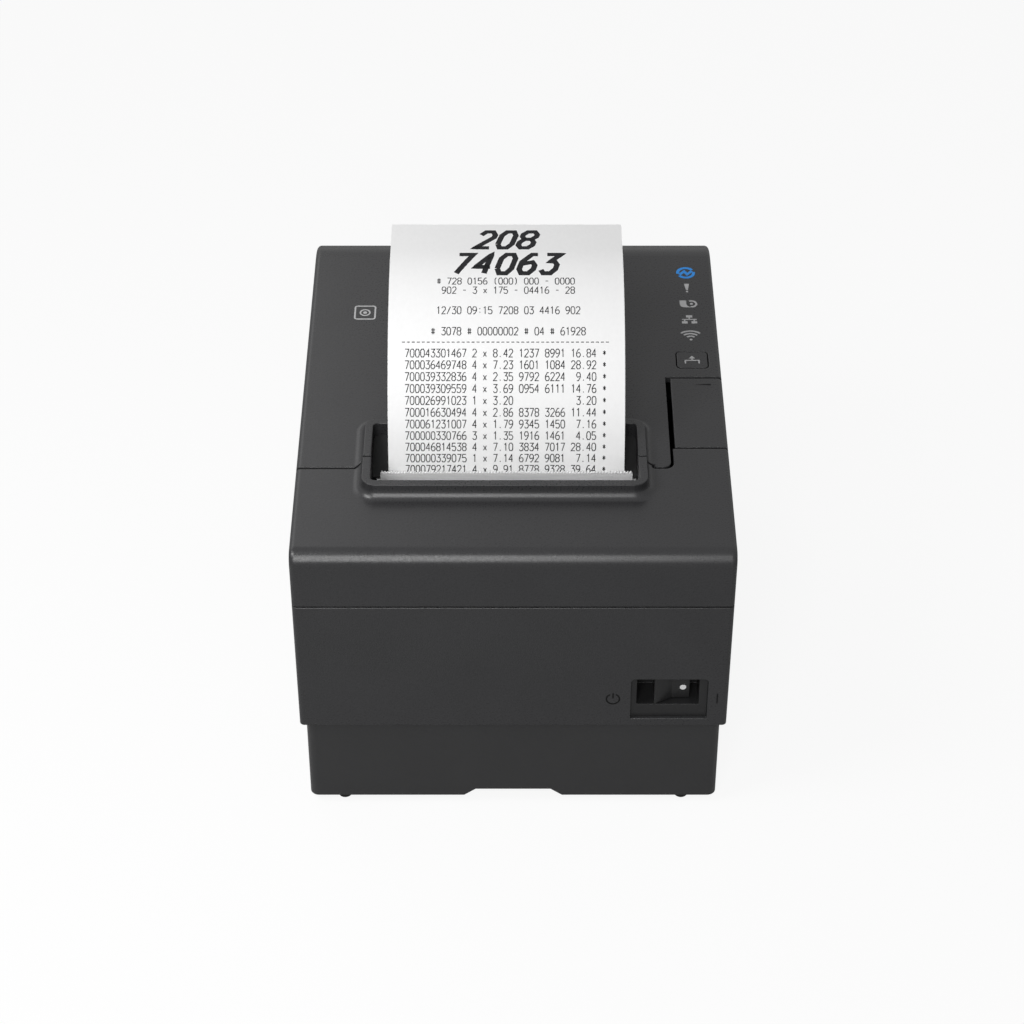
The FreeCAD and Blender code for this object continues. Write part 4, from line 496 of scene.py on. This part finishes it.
def on_top_of(node):
    """A place function for marks on a surface that faces up."""
    solid = NODES[node]
    above = CAD_BOX[1].z + 0.01

    def place(point, height):
        _, spot, normal, _ = solid.ray_cast(Vector((point[0], point[1], above)), Vector((0, 0, -1)))
        return spot + normal * (height + MARK_LIFT)

    return place


def on_front_of(node):
    """A place function for marks on a surface that faces forward. Flat points are X and Z."""
    solid = NODES[node]
    ahead = CAD_BOX[0].y - 0.01

    def place(point, height):
        _, spot, normal, _ = solid.ray_cast(Vector((point[0], ahead, point[1])), Vector((0, 1, 0)))
        return spot + normal * (height + MARK_LIFT)

    return place


# The slip's print: numbers and rules only, in a stroke type

GLYPH_WIDE = 4.0
GLYPH_TALL = 6.0
GLYPHS = {
    "0": [[(0, 1.4), (0, 4.6), (1, 6), (3, 6), (4, 4.6), (4, 1.4), (3, 0), (1, 0), (0, 1.4)]],
    "1": [[(0.8, 4.8), (2.2, 6), (2.2, 0)]],
    "2": [[(0, 4.8), (1, 6), (3, 6), (4, 4.8), (4, 3.9), (0, 0), (4, 0)]],
    "3": [[(0, 6), (4, 6), (1.8, 3.6), (3, 3.6), (4, 2.6), (4, 1.2), (3, 0), (1, 0), (0, 1)]],
    "4": [[(3, 0), (3, 6), (0, 1.9), (4, 1.9)]],
    "5": [[(3.8, 6), (0.3, 6), (0, 3.4), (2.8, 3.6), (4, 2.5), (4, 1.2), (3, 0), (1, 0), (0, 0.8)]],
    "6": [[(3.6, 6), (2, 6), (0, 3.4), (0, 1.2), (1, 0), (3, 0), (4, 1.2), (4, 2.4), (3, 3.4), (0, 2.8)]],
    "7": [[(0, 6), (4, 6), (1.4, 0)]],
    "8": [
        [(1, 3.2), (0, 4.2), (0, 5), (1, 6), (3, 6), (4, 5), (4, 4.2), (3, 3.2), (1, 3.2)],
        [(1, 3.2), (0, 2.1), (0, 1), (1, 0), (3, 0), (4, 1), (4, 2.1), (3, 3.2)],
    ],
    "9": [[(0.4, 0), (2, 0), (4, 2.6), (4, 4.8), (3, 6), (1, 6), (0, 4.8), (0, 3.6), (1, 2.6), (4, 3.2)]],
    ".": [[(1.7, 0), (1.7, 0.8)]],
    ":": [[(2, 1), (2, 1.8)], [(2, 4), (2, 4.8)]],
    "-": [[(0.6, 3), (3.4, 3)]],
    "/": [[(0.2, 0), (3.8, 6)]],
    "x": [[(0.4, 0.4), (3.6, 4)], [(0.4, 4), (3.6, 0.4)]],
    "*": [[(2, 1.6), (2, 5)], [(0.6, 2.4), (3.4, 4.2)], [(0.6, 4.2), (3.4, 2.4)]],
    "#": [[(1.2, 0.6), (1.2, 5.4)], [(2.8, 0.6), (2.8, 5.4)], [(0, 2), (4, 2)], [(0, 4), (4, 4)]],
    "(": [[(2.8, 6.4), (1.6, 4.6), (1.6, 1.4), (2.8, -0.4)]],
    ")": [[(1.2, 6.4), (2.4, 4.6), (2.4, 1.4), (1.2, -0.4)]],
    " ": [],
}
COLUMN_PITCH = 1.74 * MM
COLUMNS = 39
GLYPH_HEIGHT = 2.7 * MM
GLYPH_SHARE = 0.72
INK_WIDTH = 0.3 * MM
ROW_PITCH = 3.986 * MM
FIRST_ROW = 2.9 * MM
ITEM_ROWS = 11
SHORT_ROW = 6
PRINT_STEP = 0.5 * MM
PRINT_SEED = 11
RULE_ROW = 47.9 * MM
RULE_HALF = 35.0 * MM
RULE_DASHES = 42
DASH_SHARE = 0.6
HEAD_ROWS = {
    # Distance along the slip in millimetres: what is printed there
    50.4: "# 3078 # 00000002 # 04 # 61928",
    58.1: "12/30 09:15 7208 03 4416 902",
    66.1: "902 - 3 x 175 - 04416 - 28",
    70.0: "# 728 0156 (000) 000 - 0000",
}
TITLES = [
    # Numbers, distance along the slip, pitch of the numbers
    ("208", 88.4 * MM, 7.2 * MM),
    ("74063", 74.9 * MM, 7.5 * MM),
]
TITLE_HEIGHT = 9.6 * MM
TITLE_INK = 1.9 * MM
TITLE_GLYPH = 4.8 * MM
TITLE_SLANT = 0.28


def slip_line():
    """The slip's outer face as points (Y, Z), from the slot to its far end."""
    slip = NODES["receipt"].data
    side = min(vertex.co.x for vertex in slip.vertices)
    outer = set()
    for face in slip.polygons:
        if abs(face.normal.x) < 0.5 and face.normal.dot(Vector((0.0, -0.6, 0.8))) > 0.3:
            outer |= set(face.vertices)
    corners = {slip.vertices[number].co.copy().freeze() for number in outer}
    line = sorted({(round(spot.y, 7), round(spot.z, 7)) for spot in corners if spot.x < side + 0.1 * MM})
    return [Vector(point) for point in line]


def on_slip():
    """A place function for print on the slip. Flat points are X and the distance along the slip."""
    line = slip_line()
    reaches = [0.0]
    for before, after in zip(line, line[1:]):
        reaches.append(reaches[-1] + (after - before).length)

    def place(point, height):
        far = point[1]
        run = max(number for number in range(len(line) - 1) if reaches[number] <= max(far, 0.0))
        along = (line[run + 1] - line[run]).normalized()
        spot = line[run] + along * (far - reaches[run])
        aside = Vector((-along.y, along.x))
        spot = spot + aside * (height + MARK_LIFT)
        return Vector((point[0], spot.x, spot.y))

    return place


def print_text(marks, text, left, low, pitch, width, height, ink, slant=0.0):
    for column, letter in enumerate(text):
        for path in GLYPHS[letter]:
            points = []
            for across, up in path:
                rise = up / GLYPH_TALL * height
                reach = column * pitch + across / GLYPH_WIDE * width + slant * rise
                points.append((left + reach, low + rise))
            marks.stroke(points, ink)


def digits(chance, count):
    return "".join(str(chance.randrange(10)) for _ in range(count))


def item_row(chance, short):
    """One bought item as numbers: its number, how many at which price, and their price."""
    count = chance.randrange(1, 5)
    price = chance.randrange(105, 995)
    middle = f"{count} x {price / 100:.2f}"
    if not short:
        middle += f" {digits(chance, 4)} {digits(chance, 4)}"
    total = f"{count * price / 100:.2f}"
    return f"7000{digits(chance, 8)} {middle:<18} {total:>5} *"


def print_slip():
    low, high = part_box("receipt")
    centre = (low.x + high.x) / 2
    left = centre - COLUMNS * COLUMN_PITCH / 2
    glyph_width = GLYPH_SHARE * COLUMN_PITCH
    chance = random.Random(PRINT_SEED)
    rows = []
    for row in range(ITEM_ROWS):
        rows.append((FIRST_ROW + row * ROW_PITCH, item_row(chance, row == SHORT_ROW)))
    rows += [(far * MM, text.center(COLUMNS)) for far, text in HEAD_ROWS.items()]
    small = Marks(PRINT_STEP)
    for far, text in rows:
        print_text(small, text, left, far, COLUMN_PITCH, glyph_width, GLYPH_HEIGHT, INK_WIDTH)
    dash = 2 * RULE_HALF / RULE_DASHES
    for number in range(RULE_DASHES):
        start = centre - RULE_HALF + number * dash
        small.stroke([(start, RULE_ROW), (start + DASH_SHARE * dash, RULE_ROW)], INK_WIDTH)
    small.lay("slip_rows", on_slip(), INK, "roll_cover")
    title = Marks(PRINT_STEP)
    for text, far, pitch in TITLES:
        start = centre - len(text) * pitch / 2
        print_text(title, text, start, far, pitch, TITLE_GLYPH, TITLE_HEIGHT, TITLE_INK, TITLE_SLANT)
    title.lay("slip_title", on_slip(), INK, "roll_cover")


# Signs on the case, and painted shade in the groove on the lever

FRONT_Y = CAD_BOX[0].y
SIGN_X = 63.0 * MM
# Each sign's place behind the front, in millimetres
SIGN_BACKS = {"power": 153.3, "fault": 143.5, "paper": 134.6, "network": 125.4, "radio": 116.1}
SIGN_LINE = 0.75 * MM
POWER_LINE = 1.1 * MM
THIN_LINE = 0.5 * MM
TOUCH_X = -53.0 * MM
TOUCH_BACK = 129.4 * MM
SWITCH_SIGN_X = 33.6 * MM
SWITCH_SIGN_Z = 50.7 * MM
ON_BAR_X = 68.7 * MM
ROCKER_DOT = (57.35 * MM, 52.2 * MM)
# Painted shade: a dark wedge stands in for the shaded groove near the lever's rear edge
LEVER_GROOVE_SHADE_LEFT = 62.4 * MM
LEVER_GROOVE_SHADE_RIGHT = 68.6 * MM
LEVER_GROOVE_SHADE_INSET = 3.4 * MM


def sign_place(name):
    return SIGN_X, FRONT_Y + SIGN_BACKS[name] * MM


def power_sign():
    """A lit ring, open on two sides, with a bolt across it."""
    marks = Marks()
    x, y = sign_place("power")
    radius = 2.9 * MM
    marks.arc((x, y), radius, 35, 190, POWER_LINE)
    marks.arc((x, y), radius, 215, 370, POWER_LINE)
    bolt = [(-2.3, -1.1), (-0.5, 0.9), (0.5, -0.9), (2.3, 1.1)]
    marks.stroke(around(x, y, bolt), POWER_LINE)
    marks.lay("power_sign", on_top_of("roll_cover_shell"), BLUE_LIGHT, "roll_cover")


def fault_sign(marks):
    x, y = sign_place("fault")
    wedge = [(-0.35, -0.6), (0.35, -0.6), (0.95, 3.1), (-0.95, 3.1)]
    marks.polygon(around(x, y, wedge))
    marks.disc((x, y - 1.6 * MM), 0.45 * MM)


def paper_sign(marks):
    """A roll seen from its end, with its sheet coming off to the left."""
    x, y = sign_place("paper")
    middle = (x + 1.2 * MM, y)
    marks.arc(middle, 1.75 * MM, -100, 115, SIGN_LINE)
    marks.disc(middle, 0.55 * MM)
    outside = [(-3.0, -0.4), (-2.6, -1.5), (-1.5, -2.1), (1.2, -2.1)]
    inside = [(-0.1, -1.4), (-0.6, -0.4), (-0.6, 2.0), (-3.0, 2.0)]
    marks.polygon(around(x, y, outside + inside))


def network_sign(marks):
    """One terminal above two, joined by lines."""
    x, y = sign_place("network")
    for across, up, wide in ((0.0, 1.75, 1.1), (-1.7, -1.75, 1.0), (1.7, -1.75, 1.0)):
        corners = [(-wide, -0.65), (wide, -0.65), (wide, 0.65), (-wide, 0.65)]
        marks.polygon(around(x, y, [(across + dx, up + dy) for dx, dy in corners]))
    marks.stroke(around(x, y, [(0.0, 1.1), (0.0, 0.0)]), THIN_LINE)
    marks.stroke(around(x, y, [(-2.6, 0.0), (2.6, 0.0)]), THIN_LINE)
    for side in (-1.7, 1.7):
        marks.stroke(around(x, y, [(side, 0.0), (side, -1.2)]), THIN_LINE)


def radio_sign(marks):
    """Three arcs above a dot."""
    x, y = sign_place("radio")
    foot = (x, y - 2.4 * MM)
    for radius in (1.9, 3.4, 4.9):
        marks.arc(foot, radius * MM, 47, 133, 0.7 * MM)
    marks.disc(foot, 0.5 * MM)


def feed_sign():
    """An arrow coming out of a slot, on the feed button."""
    low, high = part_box("feed_button")
    x, y = (low.x + high.x) / 2, (low.y + high.y) / 2
    marks = Marks()
    marks.stroke(around(x, y, [(-2.4, -1.9), (-2.4, -0.2), (2.4, -0.2), (2.4, -1.9)]), THIN_LINE)
    marks.stroke(around(x, y, [(0.0, -0.2), (0.0, 1.2)]), THIN_LINE)
    marks.polygon(around(x, y, [(-1.1, 0.9), (1.1, 0.9), (0.0, 2.4)]))
    marks.lay("feed_sign", on_top_of("feed_button"), PALE_PRINT, "feed_button")


def touch_sign():
    """A plain target where a phone or a card is held: a rounded frame round a dot."""
    x, y = TOUCH_X, FRONT_Y + TOUCH_BACK
    wide, tall, corner = 3.6 * MM, 3.8 * MM, 0.9 * MM
    path = []
    for turn, (side, end) in enumerate(((1, 1), (-1, 1), (-1, -1), (1, -1))):
        centre = (x + side * (wide - corner), y + end * (tall - corner))
        for step in range(5):
            path.append(ring_point(centre, corner, math.radians(90 * turn + 90 * step / 4)))
    marks = Marks()
    marks.stroke(path, 0.6 * MM, closed=True)
    marks.arc((x, y), 1.7 * MM, 0, 360, 0.55 * MM)
    marks.disc((x, y), 0.7 * MM)
    marks.lay("touch_sign", on_top_of("roll_cover_shell"), PALE_PRINT, "roll_cover")


def switch_marks():
    """The power symbol and the on mark beside the switch, and the dot on the rocker."""
    x, z = SWITCH_SIGN_X, SWITCH_SIGN_Z
    marks = Marks()
    marks.arc((x, z), 2.2 * MM, 115, 425, THIN_LINE)
    marks.stroke(around(x, z, [(0.0, 0.3), (0.0, 2.6)]), THIN_LINE)
    marks.stroke(around(ON_BAR_X, z, [(0.0, -2.0), (0.0, 2.4)]), 0.45 * MM)
    marks.lay("switch_signs", on_front_of("lower_case"), DARK_PRINT_AND_GROOVE_SHADE, "chassis")
    dot = Marks()
    dot.disc(ROCKER_DOT, 1.1 * MM)
    dot.lay("rocker_dot", on_front_of("power_rocker"), WHITE_DOT, "power_rocker")


def lever_mark():
    """Painted groove shade: a slim dark wedge near the lever's rear edge, in place of the shade in a
    groove there.
    """
    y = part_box("open_lever")[1].y - LEVER_GROOVE_SHADE_INSET
    marks = Marks()
    broad_end = around(LEVER_GROOVE_SHADE_RIGHT, y, [(0.0, -0.35), (0.0, 0.45)])
    marks.polygon([(LEVER_GROOVE_SHADE_LEFT, y)] + broad_end)
    marks.lay("lever_mark", on_top_of("open_lever"), DARK_PRINT_AND_GROOVE_SHADE, "open_lever", 0.01 * MM)


def make_signs():
    power_sign()
    pale = Marks()
    fault_sign(pale)
    paper_sign(pale)
    network_sign(pale)
    radio_sign(pale)
    pale.lay("state_signs", on_top_of("roll_cover_shell"), PALE_PRINT, "roll_cover")
    feed_sign()
    touch_sign()
    switch_marks()
    lever_mark()


# Rear sockets: their contacts, and the screws of the plate round them


class Prisms:
    """Collects straight prisms that run towards the rear."""

    def __init__(self):
        self.points = []
        self.faces = []

    def prism(self, outline, front, rear):
        """outline is a loop of points (X, Z), counter-clockwise as seen from the front."""
        start = len(self.points)
        count = len(outline)
        for y in (front, rear):
            self.points += [Vector((x, y, z)) for x, z in outline]
        self.faces.append(list(range(start, start + count)))
        self.faces.append(list(range(start + 2 * count - 1, start + count - 1, -1)))
        for number in range(count):
            low, next_low = start + number, start + (number + 1) % count
            self.faces.append([next_low, low, low + count, next_low + count])

    def block(self, left, right, low, high, front, rear):
        self.prism([(left, low), (right, low), (right, high), (left, high)], front, rear)

    def pin(self, centre, radius, front, rear):
        self.prism(ring(centre, radius, 20), front, rear)

    def make(self, name, finish):
        add_piece(name, self.points, self.faces, finish, "chassis")


SOCKET_WALL = 1.2 * MM
CONTACT_PITCH = 1.02 * MM
CONTACT_HALF = 0.25 * MM
CONTACT_SINK = 2.5 * MM
CONTACT_LIFT = 0.6 * MM
CONTACT_THICK = 0.3 * MM


def mouth_of(node):
    """Middle across, floor, roof, inner end and mouth of a socket."""
    low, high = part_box(node)
    middle = (low.x + high.x) / 2
    return middle, low.z + SOCKET_WALL, high.z - SOCKET_WALL, low.y + SOCKET_WALL, high.y


def jack_contacts(node, count):
    """A row of sprung contacts above the floor of a jack."""
    middle, floor, _, inner, rear = mouth_of(node)
    contacts = Prisms()
    low = floor + CONTACT_LIFT
    high = low + CONTACT_THICK
    end = rear - CONTACT_SINK
    for number in range(count):
        x = middle + (number - (count - 1) / 2) * CONTACT_PITCH
        contacts.block(x - CONTACT_HALF, x + CONTACT_HALF, low, high, inner, end)
    contacts.make(node + "_contacts", GOLD)


def data_contacts():
    """The tongue in the data port, with two contacts above it and two below."""
    middle, floor, roof, inner, rear = mouth_of("data_port")
    centre = (floor + roof) / 2
    half_wide, half_tall = 2.8 * MM, 1.6 * MM
    end = rear - 1.5 * MM
    tongue = Prisms()
    left, right = middle - half_wide, middle + half_wide
    tongue.block(left, right, centre - half_tall, centre + half_tall, inner, end)
    tongue.make("data_port_tongue", SLOT_FINISHES["gear_plastic"])
    contacts = Prisms()
    reach = half_tall + CONTACT_THICK
    for side in (-1, 1):
        x = middle + side * 1.3 * MM
        left, right = x - 2 * CONTACT_HALF, x + 2 * CONTACT_HALF
        contacts.block(left, right, centre + half_tall, centre + reach, inner, rear - CONTACT_SINK)
        contacts.block(left, right, centre - reach, centre - half_tall, inner, rear - CONTACT_SINK)
    contacts.make("data_port_contacts", GOLD)


def power_pins():
    middle, floor, roof, inner, rear = mouth_of("power_inlet")
    centre = (floor + roof) / 2
    pins = Prisms()
    for across, up in ((-2.6, -1.2), (2.6, -1.2), (0.0, 2.8)):
        pins.pin((middle + across * MM, centre + up * MM), 0.75 * MM, inner, rear - CONTACT_SINK)
    pins.make("power_inlet_pins", GOLD)


SCREW_PLACES = [-47.0 * MM, -23.5 * MM, 25.0 * MM, 47.0 * MM]
SCREW_Z = 31.5 * MM
SCREW_RADIUS = 2.3 * MM
SCREW_HEIGHT = 1.0 * MM
CROSS_REACH = 1.35 * MM
CROSS_HALF = 0.35 * MM
CROSS_DEPTH = 0.6 * MM
SCREW_STEPS = 28


def screw_head(screws, x, z, foot):
    """A round head with a cross recess, standing on a plate that faces the rear."""
    rear = foot + SCREW_HEIGHT
    step, reach = CROSS_HALF, CROSS_REACH
    quarter = [(reach, step), (step, step), (step, reach)]
    cross = []
    for turn in range(4):
        cosine, sine = round(math.cos(turn * math.pi / 2)), round(math.sin(turn * math.pi / 2))
        cross += [(x + cosine * a - sine * b, z + sine * a + cosine * b) for a, b in quarter]
    loops = [
        (ring((x, z), SCREW_RADIUS, SCREW_STEPS), foot),
        (ring((x, z), SCREW_RADIUS, SCREW_STEPS), rear - SCREW_HEIGHT / 3),
        (ring((x, z), 0.8 * SCREW_RADIUS, SCREW_STEPS), rear),
        (cross, rear),
        (cross, rear - CROSS_DEPTH),
    ]
    starts = []
    for points, y in loops:
        starts.append(len(screws.points))
        screws.points += [Vector((across, y, up)) for across, up in points]
    for lower, upper, count in ((0, 1, SCREW_STEPS), (1, 2, SCREW_STEPS), (4, 3, len(cross))):
        for number in range(count):
            after = (number + 1) % count
            first, second = starts[lower], starts[upper]
            screws.faces.append([first + after, first + number, second + number, second + after])
    flat = [[Vector((across, up, 0.0)) for across, up in loops[number][0]] for number in (2, 3)]
    for corners in tessellate_polygon(flat):
        screws.faces.append([starts[2] + corner for corner in corners])
    screws.faces.append([starts[4] + number for number in reversed(range(len(cross)))])


def plate_screws():
    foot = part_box("interface_plate")[1].y
    screws = Prisms()
    for x in SCREW_PLACES:
        screw_head(screws, x, SCREW_Z, foot)
    screws.make("plate_screws", SLOT_FINISHES["steel"])


def make_rear_details():
    jack_contacts("network_port", 8)
    jack_contacts("drawer_port", 6)
    data_contacts()
    power_pins()
    plate_screws()


# Springs: wound wire in place of the plain tubes of the solids

SPRING_WIRE = 1.0 * MM
SPRING_RADIUS = 3.0 * MM
WIRE_STEPS = 8
TURN_STEPS = 20
END_TURN = 0.4
LEVER_SPRING_TURNS = 7
HEAD_SPRING_TURNS = 5


def wound_wire(points, faces, foot, along, length, turns):
    """Adds one spring that stands on foot and reaches length along an axis, with flat end turns."""
    right = along.orthogonal().normalized()
    ahead = along.cross(right)
    start = len(points)
    count = turns * TURN_STEPS
    for step in range(count + 1):
        turn = step / TURN_STEPS
        share = min(max((turn - END_TURN) / (turns - 2 * END_TURN), 0.0), 1.0)
        angle = 2 * math.pi * turn
        outward = right * math.cos(angle) + ahead * math.sin(angle)
        centre = foot + along * (SPRING_WIRE / 2 + (length - SPRING_WIRE) * share)
        centre += outward * (SPRING_RADIUS - SPRING_WIRE / 2)
        for across, up in ring((0.0, 0.0), SPRING_WIRE / 2, WIRE_STEPS):
            points.append(centre + outward * across + along * up)
    for step in range(count):
        first = start + step * WIRE_STEPS
        for number in range(WIRE_STEPS):
            after = (number + 1) % WIRE_STEPS
            low, next_low = first + number, first + after
            faces.append([low, low + WIRE_STEPS, next_low + WIRE_STEPS, next_low])
    last = start + count * WIRE_STEPS
    faces.append(list(range(start, start + WIRE_STEPS)))
    faces.append(list(range(last + WIRE_STEPS - 1, last - 1, -1)))


def lever_spring():
    low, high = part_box("lever_spring")
    foot = Vector(((low.x + high.x) / 2, (low.y + high.y) / 2, low.z))
    points, faces = [], []
    wound_wire(points, faces, foot, Vector((0, 0, 1)), high.z - low.z, LEVER_SPRING_TURNS)
    spring = add_piece("lever_spring_wire", points, faces, SLOT_FINISHES["steel"], "chassis")
    spring.data.shade_smooth()
    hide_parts("lever_spring")
    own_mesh(spring)


def head_springs():
    """Two springs of one size, at the two ends of their node's box."""
    low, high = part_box("head_springs")
    points, faces = [], []
    for x in (low.x + SPRING_RADIUS, high.x - SPRING_RADIUS):
        foot = Vector((x, low.y, (low.z + high.z) / 2))
        wound_wire(points, faces, foot, Vector((0, 1, 0)), high.y - low.y, HEAD_SPRING_TURNS)
    springs = add_piece("head_spring_wires", points, faces, SLOT_FINISHES["steel"], "chassis")
    springs.data.shade_smooth()
    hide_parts("head_springs")


make_camera()
make_lamps()
make_surround()
make_floor()
dress_nodes()
print_slip()
make_signs()
make_rear_details()
lever_spring()
head_springs()

bpy.context.scene.view_settings.view_transform = "Standard"
